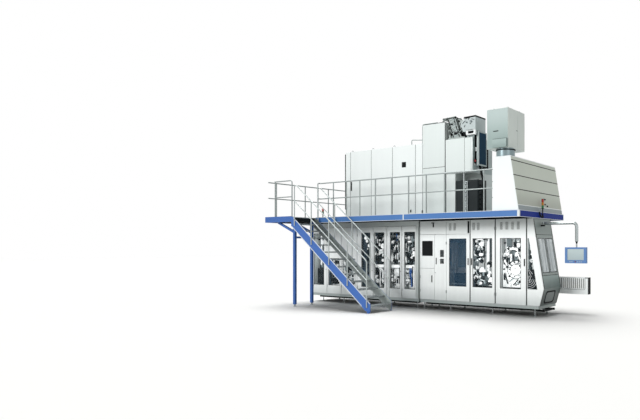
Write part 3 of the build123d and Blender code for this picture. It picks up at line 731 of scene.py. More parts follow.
fit("white",
    turned(((0.0, 0.0), (0.105, 0.0), (0.1, 0.04), (0.06, 0.12), (0.0, 0.13)), (1.9, 0.14, 1.13)))
fit("bright", tube(arc((2.02, 0.06, 1.24), 0.3, range(180, 271, 10), tall=0.36), 0.014))
working_parts["black"] += bars(0.17, 0.01, (2.12, 1.04, 2.17, 0.9), (2.29, 1.06, 2.18, 0.94),
    (2.18, 0.93, 2.31, 0.82))
small_parts(1.7, 1.98, 1.38, 2.06, 0.06, 40, 8, ("white", "black", "black", "bright"))
small_parts(1.72, 2.02, 0.76, 1.12, 0.1, 18, 9, ("slate", "white", "black"))
small_parts(1.62, 1.78, 0.76, 2.06, 0.08, 34, 27, ("white", "black", "black"))
small_parts(2.02, 2.3, 0.76, 1.3, 0.06, 22, 28, ("white", "white", "black"))

# Wheel bay: the large pocket ring and hub that carry cartons round, and their levers
boxes("slate", (2.54, 2.7, 1.76, 2.12, 0.34, 0.04))
boxes("black", (2.83, 3.19, 1.8, 2.12, 0.3, 0.04), (2.54, 3.19, 0.64, 0.73, 0.12, 0.05))
boxes("white", (2.54, 3.19, 0.73, 1.3, 0.13, 0.05), (2.54, 2.64, 1.3, 1.56, 0.13, 0.05))
for x, z, radius, size in ((2.86, 1.54, 0.3, 0.007), (2.86, 1.54, 0.205, 0.01),
        (2.95, 1.215, 0.246, 0.007), (2.95, 1.215, 0.155, 0.005)):
    fit("black", tube(arc((x, 0.068, z), radius, range(0, 361, 12)), size, sides=6))
ring_centre = (2.86, 0.12, 1.54)
hub_centre = (2.95, 0.08, 1.215)
fit("white", toothed_disc(0.345, 0.05, 9, ring_centre, hub=0.58, depth=0.2))
fit("slate", roller(0.215, 0.03, (2.86, 0.22, 1.54), inwards))
fit("white", roller(0.235, 0.05, hub_centre, inwards))
fit("white", toothed_disc(0.15, 0.02, 7, (2.95, 0.06, 1.215), hub=0.35))
for bolt in arc((2.95, 0.055, 1.215), 0.19, range(20, 380, 40)):
    fit("black", roller(0.016, 0.03, bolt, inwards))
for x, z, size in ((2.59, 1.48, 0.028), (2.7, 1.47, 0.028), (2.68, 1.28, 0.032), (2.59, 1.22, 0.024),
        (2.77, 1.39, 0.026), (2.78, 1.27, 0.018), (2.6, 1.06, 0.022)):
    fit("black", roller(size, 0.03, (x, 0.07, z), inwards))
for tone, size, *ends in (("black", 0.018, 2.61, 1.12, 2.71, 0.82),
        ("black", 0.018, 2.87, 1.62, 2.9, 1.4), ("black", 0.012, 2.77, 1.66, 2.7, 1.54),
        ("white", 0.02, 2.82, 1.64, 2.8, 1.43), ("slate", 0.016, 2.88, 1.0, 2.76, 0.89),
        ("black", 0.016, 3.01, 0.95, 2.88, 0.8), ("white", 0.024, 3.08, 1.48, 3.0, 1.7),
        ("black", 0.012, 3.12, 1.66, 3.09, 1.48)):
    working_parts[tone] += bars(0.08, size, ends)
small_parts(2.84, 3.18, 1.8, 2.08, 0.1, 16, 10, ("bright", "black", "slate", "white"))
small_parts(2.9, 3.18, 0.74, 0.98, 0.1, 14, 11, ("black", "white", "bright"))
small_parts(2.57, 2.84, 0.74, 1.16, 0.1, 14, 12, ("black", "white", "white"))
small_parts(2.57, 2.76, 1.3, 1.96, 0.06, 26, 16, ("black", "white", "black"))
small_parts(2.9, 3.16, 1.44, 1.8, 0.09, 20, 17, ("black", "black", "white"))

# Outfeed side: levers above, a curved guide rail below, and bright chutes behind the end panes
boxes("black", (3.3, 3.66, 0.64, 1.16, 0.2, 0.04))
boxes("black", (3.35, 3.46, 1.5, 1.76, 0.16, 0.05), (3.36, 3.66, 0.7, 0.76, 0.1, 0.05))
boxes("white", (3.35, 3.58, 1.3, 1.42, 0.2, 0.05), (3.4, 3.47, 1.2, 2.15, 0.66, 0.3),
    (3.38, 3.45, 1.2, 2.15, 0.2, 0.24))
boxes("slate", (3.3, 3.34, 1.1, 2.2, 0.05, 0.95), (3.42, 3.45, 1.2, 2.3, 0.48, 0.06))
working_parts["black"] += bars(0.06, 0.014, (3.37, 1.3, 3.47, 1.46), (3.42, 1.18, 3.54, 1.33))
for reach in (0.1, 0.17, 0.24):
    fit("white", tube(arc((3.36, 0.04, 0.98), reach, range(-90, 61, 10)), 0.012))
small_parts(3.36, 3.46, 1.4, 1.98, 0.06, 22, 13, ("black", "white", "black"))
small_parts(3.37, 3.58, 0.78, 1.3, 0.08, 20, 14, ("white", "white", "black"))

slate_enamel = powder_coat("slate grey enamel", "8A9698", roughness=0.4, low_tone="6C787C")
navy_enamel = powder_coat("dark blue-grey enamel", "36444E", roughness=0.5,
    low_tone="27333C", gloss=0.2)
finishes = (("white", white_enamel, ("left_machinery",)),
    ("bright", bright_chrome, ("right_machinery",)), ("black", black_plastic, ()),
    ("blue", blue_plastic, ()), ("slate", slate_enamel, ()), ("navy", navy_enamel, ()))
for tone, finish, replaced in finishes:
    piece(f"working_parts_{tone}", working_parts[tone], finish, replaced=replaced)

# Black trays close the underside of both bodies between the two rows of feet, and their black also
# stands in for the deep shade under the machine, painted shade. Dark skid bars lie under the outfeed
# end
tray_depth = 0.062
piece("drip_trays",
    [block((start, foot_rows[0] - 0.03, foot_height - tray_depth), (end, foot_rows[1], foot_height))
        for start, end in ((-4.4, -0.33), (0.0, 3.46))]
    + [block((3.44, y, 0.12), (3.74, y + 0.05, 0.175)) for y in (0.13, 0.8)]
    + [block((3.66, 0.13, 0.12), (3.72, 0.85, 0.165))], black_plastic)


# Left doors
# Seven hinged leaves of folded stainless sheet round a polycarbonate pane. The pane sits in a
# black rubber gasket, two lift-off hinges carry the leaf, and a small round latch closes it.
def clear_pane(name, tone, alpha):
    """Polycarbonate or glass sheet: clear, faintly tinted, with a slight waviness."""
    material, tree, shader, place = new_material(name)
    wave = add_node(tree, "ShaderNodeTexNoise", {"Vector": place, "Scale": 3.0})
    relief = add_node(tree, "ShaderNodeBump",
        {"Height": wave.outputs["Fac"], "Strength": 0.05, "Distance": 0.01})
    tree.links.new(relief.outputs["Normal"], shader.inputs["Normal"])
    shader.inputs["Base Color"].default_value = linear(tone)
    shader.inputs["Roughness"].default_value = 0.06
    shader.inputs["Specular IOR Level"].default_value = 0.25
    shader.inputs["Alpha"].default_value = alpha
    return material


polycarbonate = clear_pane("clear polycarbonate", "5F7078", 0.07)
hinge_steel = stainless("cast stainless hinge", "A4ABAA", 0.35, 0.6, 40.0)

door_front = -0.08
door_depth = 0.035
gasket_lap = 0.003
gasket_lip = 0.008
gasket_depth = 0.008
pane_inset = 0.002
pane_depth = 0.006
vent_back = -0.05
handle_half = 0.017
handle_stand = 0.018
latch_inset = 0.028
latch_level = 1.08
hinge_inset = 0.01
hinge_length = 0.09
hinge_to_corner = 0.25


def louvre_slots(left, top, columns, pitch, rows=11, width=0.085, drop=0.019):
    """Outlines of vent slots, punched in columns."""
    return [rectangle(left + c * pitch, left + c * pitch + width, top - r * drop - 0.008,
            top - r * drop) for c in range(columns) for r in range(rows)]


def hinged_leaf(node, left, right, low, high, windows, handle=None, hinge_left=True, vents=(),
        pane=polycarbonate):
    """Dress one door: leaf, gaskets, panes, hinges and handle, all on the door's own body."""
    leaf = front_sheet(left, right, low, high, door_front, door_depth,
        holes=[rectangle(*w) for w in windows] + list(vents), corner=0.004)
    piece(f"{node}_leaf", [leaf], door_stainless, node, replaced=(node,))
    blacks = []
    for a, b, c, d in windows:
        hole = rectangle(a + gasket_lip, b - gasket_lip, c + gasket_lip, d - gasket_lip)
        blacks.append(front_sheet(a - gasket_lap, b + gasket_lap, c - gasket_lap, d + gasket_lap,
                door_front - 0.001, gasket_depth, holes=(hole,), corner=0.01, bevel=0.001))
    if vents:
        reach = [u for vent in vents for u, v in vent]
        levels = [v for vent in vents for u, v in vent]
        blacks.append(front_sheet(min(reach) - 0.01, max(reach) + 0.01, min(levels) - 0.01,
                max(levels) + 0.01, vent_back, 0.004))
    metal = []
    if handle:
        x, z_low, z_high = handle
        blacks.append(front_sheet(x - handle_half, x + handle_half, z_low - 0.012, z_high + 0.012,
                door_front - 0.003, 0.004, corner=0.01, bevel=0.001))
        stand = door_front - handle_stand
        blacks.append(
            tube([(x, door_front, z_low + 0.012), (x, stand, z_low + 0.012), (x, stand, z_high - 0.012),
                    (x, door_front, z_high - 0.012)], 0.007, bend=0.012, sides=8))
    else:
        latch_x = right - latch_inset if hinge_left else left + latch_inset
        metal.append(roller(0.014, 0.01, (latch_x, door_front, latch_level), outwards))
    if blacks:
        piece(f"{node}_gaskets", blacks, black_rubber, node)
    if windows:
        panes = [front_sheet(a + pane_inset, b - pane_inset, c + pane_inset, d - pane_inset,
                door_front + 0.01, pane_depth, bevel=thin_bevel) for a, b, c, d in windows]
        piece(f"{node}_panes", panes, pane, node)
    hinge_x = left + hinge_inset if hinge_left else right - hinge_inset
    for z in (low + hinge_to_corner, high - hinge_to_corner):
        metal.append(
            roller(0.008, hinge_length, (hinge_x, door_front - 0.002, z - hinge_length / 2), upright))
    piece(f"{node}_hinges", metal, hinge_steel, node)


left_windows = (((-4.533, -4.063, 0.56, 2.275),), ((-3.858, -3.362, 0.56, 1.45),),
    ((-3.212, -2.675, 0.56, 1.45),), ((-2.409, -2.042, 0.56, 2.275),), ((-1.879, -1.48, 0.56, 2.275),),
    ((-1.247, -0.863, 0.56, 2.275),), ((-0.696, -0.299, 0.56, 2.275),))
lip_gap = 0.009
for number, windows in enumerate(left_windows, start=1):
    hinged_leaf(f"left_door_{number}", left_seams[number - 1] + lip_gap, left_seams[number] - lip_gap,
        door_sill, left_door_head, windows)


# Right doors
# The same folded leaves. The tall panes of the last three doors are lightly tinted, the first of
# them deep blue. Punched vents stand at the head of the doors, over the fans behind.
tinted_pane = clear_pane("deep blue tinted glass", "24465E", 0.5)
hatch_bottom = 2.186
lower_hatch_top = 1.195

hinged_leaf("cabinet_door", right_seams[0] + thin_gap, right_seams[1] - thin_gap, door_sill,
    lower_hatch_top, (), handle=(0.315, 0.8, 0.985))
hinged_leaf("control_door", right_seams[1] + thin_gap, right_seams[2] - thin_gap, door_sill,
    hatch_bottom, ((0.605, 0.73, 1.345, 1.481), (0.605, 0.73, 1.54, 1.735)), hinge_left=False)
hinged_leaf("glass_door", right_seams[2] + thin_gap, right_seams[3] - wide_gap, door_sill, hatch_bottom,
    ((0.917, 1.485, 0.71, 2.062),), handle=(1.547, 1.33, 1.5), pane=tinted_pane)
hinged_leaf("forming_door", right_seams[3] + wide_gap, right_seams[4] - wide_gap, door_sill,
    right_door_head, ((1.694, 2.308, 0.71, 2.062),), handle=(1.66, 1.33, 1.5), hinge_left=False,
    vents=louvre_slots(1.68, 2.5, 2, 0.15))
hinged_leaf("wheel_door", right_seams[4] + wide_gap, right_seams[5] - wide_gap, door_sill,
    right_door_head, ((2.556, 3.172, 0.71, 2.062),), handle=(3.277, 1.328, 1.502),
    vents=louvre_slots(2.545, 2.5, 4, 0.17))
piece("control_door_pull",
    [front_sheet(0.452, 0.484, 1.32, 1.515, -0.0825, 0.003, corner=0.012, bevel=0.001)], black_rubber,
    "control_door")

# Fixed panels beside and above the doors, with the recess of the control screen
panel_depth = 0.042
upper_low = 2.194
fixed_panels = [front_sheet(-0.108, 0.814, upper_low, right_door_head, door_front, panel_depth),
    front_sheet(0.822, 1.607, upper_low, right_door_head, door_front, panel_depth,
        holes=louvre_slots(0.905, 2.5, 2, 0.15) + [rectangle(1.524, 1.59, 2.215, 2.555)]),
    front_sheet(-0.108, 0.4, 1.203, 2.186, door_front, panel_depth,
        holes=(rectangle(-0.04, 0.344, 1.563, 2.003),), corner=0.004)]
piece("upper_panel_sheets", fixed_panels, door_stainless, replaced=("upper_panels",))
recesses = ((-0.046, 0.35, 1.557, 2.009, -0.06, 0.012, 0.01),
    (0.89, 1.16, 2.27, 2.52, vent_back, 0.004, 0.0), (1.52, 1.596, 2.21, 2.56, vent_back, 0.004, 0.0),
    (0.35, 0.388, 2.4, 2.54, -0.094, 0.014, 0.006), (0.3, 0.4, 2.515, 2.54, -0.09, 0.014, 0.006))
piece("panel_recesses", [front_sheet(*span, corner=corner) for *span, corner in recesses],
    black_rubber)


# Side panel and outfeed end
# A tapering sheet beside the end face keeps a broad white border along its slope. The leaning
# end has two tall panes in one glazed screen; a teal-grey cover folds back under it to the base.
end_top = 3.509
kink = (3.82, 0.738)
foot_x = 3.692
slope_top = 2.6
lean = (kink[0] - end_top) / (slope_top - kink[1])
side_outline = [(3.356, door_sill), (foot_x + 0.01, door_sill), kink,
    (end_top + lean * (slope_top - right_door_head), right_door_head), (3.356, right_door_head)]
side_window = [(3.366, 0.715), (3.645, 0.715), (3.403, 2.058), (3.366, 2.058)]
piece("side_panel_sheet",
    [front_plate(side_outline, door_front, door_depth, holes=(side_window,), corner=0.004),
        block((3.358, -0.046, 1.1), (3.585, -0.038, 1.16), bevel=0.001)], door_stainless,
    replaced=("side_panel",))
lower_pane = [(3.366, 0.716), (3.644, 0.716), (3.536, 1.24), (3.366, 1.24)]
guide_strips = [tube(arc((3.372, door_front + 0.022, 1.0), reach, range(-90, last, 12)), 0.006, sides=6)
    for reach, last in ((0.07, 86), (0.12, 6), (0.17, 6), (0.22, 6), (0.27, 6))]
guide_strips += bars(door_front + 0.02, 0.006, (3.38, 1.22, 3.47, 1.04), (3.4, 1.23, 3.5, 1.12),
    (3.38, 1.06, 3.42, 0.9), sides=6)
piece("side_guide_strips", guide_strips, white_enamel)
piece("side_guide_back", [front_plate(lower_pane, door_front + 0.029, 0.003, bevel=thin_bevel)],
    black_plastic)
piece("side_panel_pane", [front_plate(side_window, door_front + 0.01, 0.006, bevel=thin_bevel)],
    polycarbonate)

# The end panes are tinted almost white: a painted reflection of the bright surround.
reflecting_end_pane = clear_pane("pale polycarbonate of the end", "F4FDFF", 0.3)
# A darker copy of the shell's stainless, with painted shade at its foot and a deeper painted shadow at
# its head.
shaded_end_sheet = stainless("ground stainless end sheet", "98A39F", 0.42, 0.2, 7.0, (1.0, 1.5, 0.3), "707C78",
    (1.95, 2.35, 0.65))
cast_teal, tree, shader, place = new_material("teal-grey hammered enamel")
hammer = add_node(tree, "ShaderNodeTexVoronoi", {"Vector": place, "Scale": 120.0})
cloud = add_node(tree, "ShaderNodeTexNoise", {"Vector": place, "Scale": 2.5, "Detail": 3.0})
cover_level = add_node(tree, "ShaderNodeSeparateXYZ", {0: place})
cover_fade = add_node(tree, "ShaderNodeMapRange", {"Value": cover_level.outputs["Z"], "From Min": 0.55,
        "From Max": 1.1, "To Min": -0.12, "To Max": 0.8})
cover_tone = add_node(tree, "ShaderNodeMath",
    {0: cloud.outputs["Fac"], 1: 0.25, 2: cover_fade.outputs["Result"]}, operation="MULTIPLY_ADD")
teal = add_node(tree, "ShaderNodeMix",
    {0: cover_tone.outputs[0], 6: linear("3F4A48"), 7: linear("9CB0AC")}, data_type="RGBA")
tree.links.new(teal.outputs[2], shader.inputs["Base Color"])
dents = add_node(tree, "ShaderNodeBump",
    {"Height": hammer.outputs["Distance"], "Strength": 0.08, "Distance": 0.001})
tree.links.new(dents.outputs["Normal"], shader.inputs["Normal"])
shader.inputs["Roughness"].default_value = 0.4
refinish("end_cover", cast_teal)

slope_angle = math.atan(lean)
end_slope = (end_top, slope_top, -slope_angle, slope_top)


def slope_height(level):
    """Height along the slope that reaches a given level above the floor."""
    return slope_top - (slope_top - level) / math.cos(slope_angle)


screen_low = slope_height(1.082)
screen_high = slope_height(2.584)
pane_low = slope_height(1.15)
pane_high = slope_height(2.06)
pane_spans = ((0.045, 0.48), (0.535, 0.975))
pane_thickness = 0.003
screen_sheet = leaning_sheet(end_slope, -0.036, 1.058, screen_low, screen_high, 0.018, corner=0.01,
    holes=[rectangle(a, b, pane_low, pane_high) for a, b in pane_spans])
piece("end_screen_sheet", [screen_sheet], shaded_end_sheet, replaced=("end_screen",))
piece("end_screen_panes",
    [leaning_sheet(end_slope, a, b, pane_low, pane_high, pane_thickness, -0.001, bevel=thin_bevel)
        for a, b in pane_spans], reflecting_end_pane)
chute_spans = (
    ("white", white_enamel, ((0.045, 0.1), (0.15, 0.3), (0.35, 0.43), (0.64, 0.7), (0.77, 0.975))),
    ("slate", slate_enamel, ((0.1, 0.15), (0.43, 0.48), (0.535, 0.56), (0.7, 0.77))),
    ("navy", navy_enamel, ((0.3, 0.35), (0.56, 0.64))))
for tone, finish, spans in chute_spans:
    piece(f"end_chutes_{tone}",
        [leaning_sheet(end_slope, a, b, pane_low, pane_high, pane_thickness, -0.006, bevel=thin_bevel)
            for a, b in spans], finish)
lap, lip = 0.006, 0.01
piece("end_screen_gaskets", [leaning_sheet(end_slope, a - lap, b + lap,
            pane_low - lap, pane_high + lap, 0.006, 0.002, corner=0.01, bevel=0.001,
            holes=(rectangle(a + lip, b - lip, pane_low + lip, pane_high - lip),))
        for a, b in pane_spans], black_rubber)

# The folded underside of the cover carries a rounded mouth and its rim; the mouth is a dark grey
# plate that stands in for the shade inside it, painted shade
cover_foot = 0.28
cover_underside = (foot_x, cover_foot,
    math.atan((kink[0] - foot_x) / (kink[1] - cover_foot)), cover_foot)
mouth_shade_grey = powder_coat("dark grey of the mouth, painted shade", "5E6A69", low_tone="4A5554")
piece("end_cover_mouth",
    [leaning_sheet(cover_underside, 0.18, 0.76, 0.35, 0.66, 0.006, 0.002, corner=0.07)],
    mouth_shade_grey)
piece("end_cover_rim", [leaning_sheet(cover_underside, 0.16, 0.78, 0.33, 0.68, 0.01,
            0.006, corner=0.08, holes=(rectangle(0.205, 0.735, 0.372, 0.638),))]
    + [leaning_sheet(cover_underside, y - 0.01, y + 0.01, 0.3, 0.735, 0.008, 0.005)
        for y in (-0.026, 1.048)] + [leaning_sheet(end_slope, y - 0.01, y + 0.01,
            slope_height(0.742), slope_height(2.56), 0.008, 0.005) for y in (-0.028, 1.05)]
    + [leaning_sheet(end_slope, -0.03, 1.05, slope_height(level), slope_height(level + 0.01), 0.006,
            0.003) for level in (1.07, 2.15)], black_rubber)


# Deck
# Chequer plate on beams coloured near black; the beams and every downward face of the plate and
# the zinc carry painted shade. The zinc of other pieces shows its spangle as soft grey patches, and
# the plate's raised lozenges are drawn at 40 mm, a little over life size, so that they still show.
def painted_shade_below(tree, colour, below_shade_tone):
    """Give the faces that look down painted shade, and hand back the colour of all faces."""
    normal = add_node(tree, "ShaderNodeNewGeometry").outputs["Normal"]
    side = add_node(tree, "ShaderNodeSeparateXYZ", {0: normal})
    below = add_node(tree, "ShaderNodeMath", {0: side.outputs["Z"], 1: -0.5}, operation="LESS_THAN")
    both = add_node(tree, "ShaderNodeMix", {0: below.outputs[0], 6: colour, 7: linear(below_shade_tone)},
        data_type="RGBA")
    return both.outputs[2]


zinc, tree, shader, place = new_material("hot-dip galvanised steel")
spangle = add_node(tree, "ShaderNodeTexVoronoi", {"Vector": place, "Scale": 28.0})
zinc_tone = add_node(tree, "ShaderNodeMix",
    {0: spangle.outputs["Color"], 6: linear("7D8486"), 7: linear("A9B0B1")}, data_type="RGBA")
# Faces that look down take painted shade.
tree.links.new(painted_shade_below(tree, zinc_tone.outputs[2], "2A3132"), shader.inputs["Base Color"])
shader.inputs["Metallic"].default_value = 0.5
shader.inputs["Roughness"].default_value = 0.5

chequer, tree, shader, place = new_material("aluminium chequer plate")
lozenge_scale = 8.0
waves = []
for turn in (45, -45):
    across = add_node(tree, "ShaderNodeMapping",
        {"Vector": place, "Rotation": (0.0, 0.0, math.radians(turn))})
    waves.append(
        add_node(tree, "ShaderNodeTexWave", {"Vector": across.outputs[0], "Scale": lozenge_scale}))
raised = add_node(tree, "ShaderNodeMath", {0: waves[0].outputs["Fac"], 1: waves[1].outputs["Fac"]},
    operation="MULTIPLY")
pressed = add_node(tree, "ShaderNodeBump",
    {"Height": raised.outputs[0], "Strength": 0.5, "Distance": 0.004})
tree.links.new(pressed.outputs["Normal"], shader.inputs["Normal"])
tread_tone = add_node(tree, "ShaderNodeMix",
    {0: raised.outputs[0], 6: linear("868D8F"), 7: linear("B4BBBC")}, data_type="RGBA")
# Faces that look down take painted shade.
tree.links.new(painted_shade_below(tree, tread_tone.outputs[2], "12171A"), shader.inputs["Base Color"])
shader.inputs["Metallic"].default_value = 0.6
shader.inputs["Roughness"].default_value = 0.42
# The beams are coloured near black for the deep shade under the deck: painted shade.
beam_painted_shade = powder_coat("deck beams, near black for painted shade", "161C1F", roughness=0.6, gloss=0.1)
refinish("deck_beams", beam_painted_shade)
refinish("deck_plates", chequer)


# Fascia
# Folded steel boards in blue powder coat close the deck's edge. The walkway's boards carry painted
# highlights, pale strips along their top and bottom folds, and white joint strips.
signal_blue = powder_coat("signal blue powder coat", "4678B8", gloss=0.3)
post_blue = powder_coat("post blue powder coat", "3A66AE", gloss=0.3, low_tone="345C9E")
shaded_fascia_blue = powder_coat("deep blue powder coat, painted shade of the fascia blue", "0A2C88", roughness=0.5, gloss=0.1)
highlight_and_joint_coat = powder_coat("pale grey powder coat", "DDE3E6")
fascia_bottom = 2.59
fascia_top = 2.765
rim = 0.012
landing_right = -3.605
walkway_right = 3.535
landing_front = -1.936
walkway_front = -0.91
plant_rear = 1.97
for node in ("front_fascia", "rear_fascia"):
    refinish(node, signal_blue)
# The landing's boards take the darker post blue and the end boards a deep blue, darker copies of the
# fascia blue: painted shade.
refinish("landing_fascia", post_blue)
refinish("end_fascia", shaded_fascia_blue)

# The pale strips along the top and bottom of the walkway boards are painted highlights on their folds.
strip_thickness = 0.006
fascia_highlights_and_joints = []
for low in (fascia_bottom, fascia_top - rim):
    fascia_highlights_and_joints += [front_sheet(landing_right, walkway_right, low, low + rim, walkway_front - 0.004,
            strip_thickness), outfeed_sheet(walkway_front, plant_rear, low, low + rim,
            walkway_right + 0.004, strip_thickness)]
for left, right in ((-2.813, -2.777), (-0.123, -0.087), (walkway_right - 0.06, walkway_right)):
    fascia_highlights_and_joints.append(
        front_sheet(left, right, fascia_bottom, fascia_top, walkway_front - 0.005, strip_thickness))
fascia_highlights_and_joints.append(outfeed_sheet(walkway_front - 0.004, walkway_front + 0.04, fascia_bottom,
        fascia_top, walkway_right + 0.005, strip_thickness))
piece("fascia_rims", fascia_highlights_and_joints, highlight_and_joint_coat)


# Landing legs
# Square hollow posts in the same blue, tied in pairs, with a plate brace up to the deck and a
# levelling foot under each.
refinish("landing_legs", post_blue)
leg_x = -3.668
leg_rows = (-1.73, -1.02, 1.18, 1.8)
leg_foot_profile = ((0.0, 0.0), (0.052, 0.0), (0.052, 0.01), (0.03, 0.02), (0.018, 0.03),
    (0.018, 0.044), (0.03, 0.045), (0.032, 0.06), (0.0, 0.06))
leg_feet = [turned(leg_foot_profile, (leg_x, y, 0.0)) for y in leg_rows]
piece("leg_feet", leg_feet, turned_steel)


# Stair
# Two plate stringers, blue outside and galvanised inside, with folded chequer treads bolted
# between them. Each tread has a ribbed nosing along its front edge.
stair_paint, tree, shader, place = new_material("stringer: blue outside, galvanised inside")
position = add_node(tree, "ShaderNodeSeparateXYZ", {0: place})
facing = add_node(tree, "ShaderNodeSeparateXYZ",
    {0: add_node(tree, "ShaderNodeNewGeometry").outputs["Normal"]})
stair_middle = -1.458
offset = add_node(tree, "ShaderNodeMath", {0: position.outputs["Y"], 1: stair_middle},
    operation="SUBTRACT")
outward = add_node(tree, "ShaderNodeMath", {0: offset.outputs[0], 1: facing.outputs["Y"]},
    operation="MULTIPLY")
is_outside = add_node(tree, "ShaderNodeMath", {0: outward.outputs[0], 1: -0.1},
    operation="GREATER_THAN")
patches = add_node(tree, "ShaderNodeTexNoise", {"Vector": place, "Scale": 3.0, "Detail": 4.0})
inner_zinc = add_node(tree, "ShaderNodeMix",
    {0: patches.outputs["Fac"], 6: linear("98A3A1"), 7: linear("CDD6D4")}, data_type="RGBA")
# Painted shade on the galvanised inside faces, deepening up the stair towards the landing.
stair_height = add_node(tree, "ShaderNodeMapRange",
    {"Value": position.outputs["Z"], "From Min": 0.5, "From Max": 2.5, "To Min": 0.0, "To Max": 0.85})
shaded_zinc = add_node(tree, "ShaderNodeMix",
    {0: stair_height.outputs["Result"], 6: inner_zinc.outputs[2], 7: linear("3E4846")},
    data_type="RGBA")
both = add_node(tree, "ShaderNodeMix",
    {0: is_outside.outputs[0], 6: shaded_zinc.outputs[2], 7: linear("3A66AE")}, data_type="RGBA")
tree.links.new(both.outputs[2], shader.inputs["Base Color"])
shader.inputs["Roughness"].default_value = 0.42
shader.inputs["Specular IOR Level"].default_value = 0.3
refinish("stair_stringers", stair_paint)

risers = 13
deck_top = 2.745
riser = deck_top / risers
going = 0.262
tread_thickness = 0.035
fall = riser / going
stringer_ends = (landing_right + 0.02, landing_right + (risers - 1) * going - 0.01)
# Pale strips along the top and bottom edges of the near stringer are painted highlights.
edge_width = 0.03
edge_highlights = []
for rise, cut_short in ((0.062, 0.0), (-0.258, 0.3)):
    ends = (max(stringer_ends[0], landing_right + (rise + 0.02) / fall), stringer_ends[1] - cut_short)
    levels = [deck_top - fall * (x - landing_right) + rise for x in (stringer_ends[0], ends[1])]
    levels[0] = min(levels[0], deck_top - 0.02)
    edge_highlights.append(front_plate([(ends[0], levels[0] - edge_width),
                (ends[1], levels[1] - edge_width), (ends[1], levels[1]), (ends[0], levels[0])],
            landing_front - 0.001, 0.003, bevel=thin_bevel))
piece("stringer_edges", edge_highlights, highlight_and_joint_coat)
tread_near, tread_far = -1.924, -0.992
tread_back = -going - 0.02
fold = 0.006
lip_top = -0.002
bm = bmesh.new()
for low, high in (((tread_back, tread_near, -fold), (0.0, tread_far, 0.0)),
        ((-fold, tread_near, -tread_thickness), (0.0, tread_far, lip_top)),
        ((tread_back, tread_near, -tread_thickness), (tread_back + fold, tread_far, lip_top)),
        ((tread_back, tread_near, -tread_thickness), (0.0, tread_near + fold, lip_top)),
        ((tread_back, tread_far - fold, -tread_thickness), (0.0, tread_far, lip_top))):
    bm.from_mesh(block(low, high, bevel=0.001))
tread_mesh = bpy.data.meshes.new("tread")
bm.to_mesh(tread_mesh)
bm.free()
treads = [row(tread_mesh, risers - 2,
        (landing_right + 2 * going, 0.0, deck_top - 2 * riser), (going, 0.0, -riser), zinc),
    block((landing_right, tread_near, deck_top - riser - tread_thickness),
        (landing_right + going, tread_far, deck_top - riser))]
rib = block((-0.03, tread_near + 0.01, 0.0), (-0.024, tread_far - 0.01, 0.002), bevel=thin_bevel)
for shift in (0.0, -0.012, -0.024):
    treads.append(
        row(rib.copy(), risers - 1, (landing_right + going + shift, 0.0, deck_top - riser - 0.0015),
            (going, 0.0, -riser), zinc))
piece("stair_tread_pans", treads, zinc, replaced=("stair_treads",))


# Stair handrails
# Bent stainless tube, 34 mm across, on posts bolted to the outside of the stringers. The handrail
# turns down into the top post, and a knee rail runs halfway up.
# One stainless tube in two tones: a darker copy for painted shade on the guard rails, and a lighter
# copy for painted sheen on the stair handrails.
satin_tube = stainless("satin stainless tube", "929A99", 0.3, 0.45, 25.0)
sheen_handrail_tube = stainless("stainless handrail tube, lighter for painted sheen", "B2BAB9", 0.28, 0.25, 25.0)
stair_rail_radius = 0.017
knee_share = 0.9
post_start = -3.445
post_pitch = 0.7175
stair_posts = 5
near_handrail_y, far_handrail_y = -1.953, -0.963
post_foot = -0.15
handrail_rise = 1.14


def nosing_level(x):
    """Height of the line through the tread edges."""
    return deck_top - fall * (x - landing_right)


def stair_handrail(name, y, node):
    """Dress one side of the stair's guard."""
    first = post_start
    last = post_start + (stair_posts - 1) * post_pitch
    turn = first + 0.1
    rails = [tube([(first, y, nosing_level(first) + post_foot),
                (first, y, nosing_level(first) + 1.085), (turn, y, nosing_level(turn) + handrail_rise),
                (last, y, nosing_level(last) + handrail_rise),
                (last, y, max(nosing_level(last) + post_foot, 0.02))], stair_rail_radius, bend=0.07),
        tube([(x, y, nosing_level(x) + 0.605) for x in (first, last)], stair_rail_radius * knee_share)]
    for index in range(1, stair_posts - 1):
        x = first + index * post_pitch
        rails.append(tube([(x, y, nosing_level(x) + post_foot), (x, y, nosing_level(x) + 1.135)],
                stair_rail_radius))
    piece(name, rails, sheen_handrail_tube, replaced=(node,))


stair_handrail("near_handrail_tubes", near_handrail_y, "near_handrail")
stair_handrail("far_handrail_tubes", far_handrail_y, "far_handrail")
bolts = []
for inner in (near_handrail_y + stair_rail_radius, far_handrail_y - stair_rail_radius):
    for x in (post_start + index * post_pitch for index in range(stair_posts)):
        for rise in (-0.055, -0.125):
            bolts.append(roller(0.01, 0.03, (x, inner - 0.015, nosing_level(x) + rise), inwards))
piece("handrail_bolts", bolts, turned_steel)


# Guard rails
# Satin stainless tube, 38 mm across: posts on the deck edge, a knee rail and a top rail that bends
# down into the end posts, with a round flange under each post.
guard_radius = 0.019
knee_radius = guard_radius * knee_share
top_rail = deck_top + 1.11
knee_rail = deck_top + 0.615
end_rail_x = -4.705
landing_rail_y = -1.88
landing_rail_left = -4.389
walkway_rail_y = -0.75
rear_rail_y = 1.88
hood_left = 2.769
post_stations = [-2.985, -2.435] + [-1.885 + 0.617 * k for k in range(8)]
flange_profile = ((0.0, 0.0), (0.044, 0.0), (0.044, 0.006), (0.028, 0.012), (0.0, 0.012))


def flanges(points):
    """Round flanges under a run of posts."""
    return [turned(flange_profile, (x, y, deck_top)) for x, y in points]


def posts(points):
    """Upright posts from the deck to the top rail."""
    return [tube([(x, y, deck_top), (x, y, top_rail)], guard_radius) for x, y in points]


def straight_rails(start, end):
    """A top rail and a knee rail between two points of the plan."""
    return [tube([(*start, z), (*end, z)], r)
        for z, r in ((top_rail, guard_radius), (knee_rail, knee_radius))]


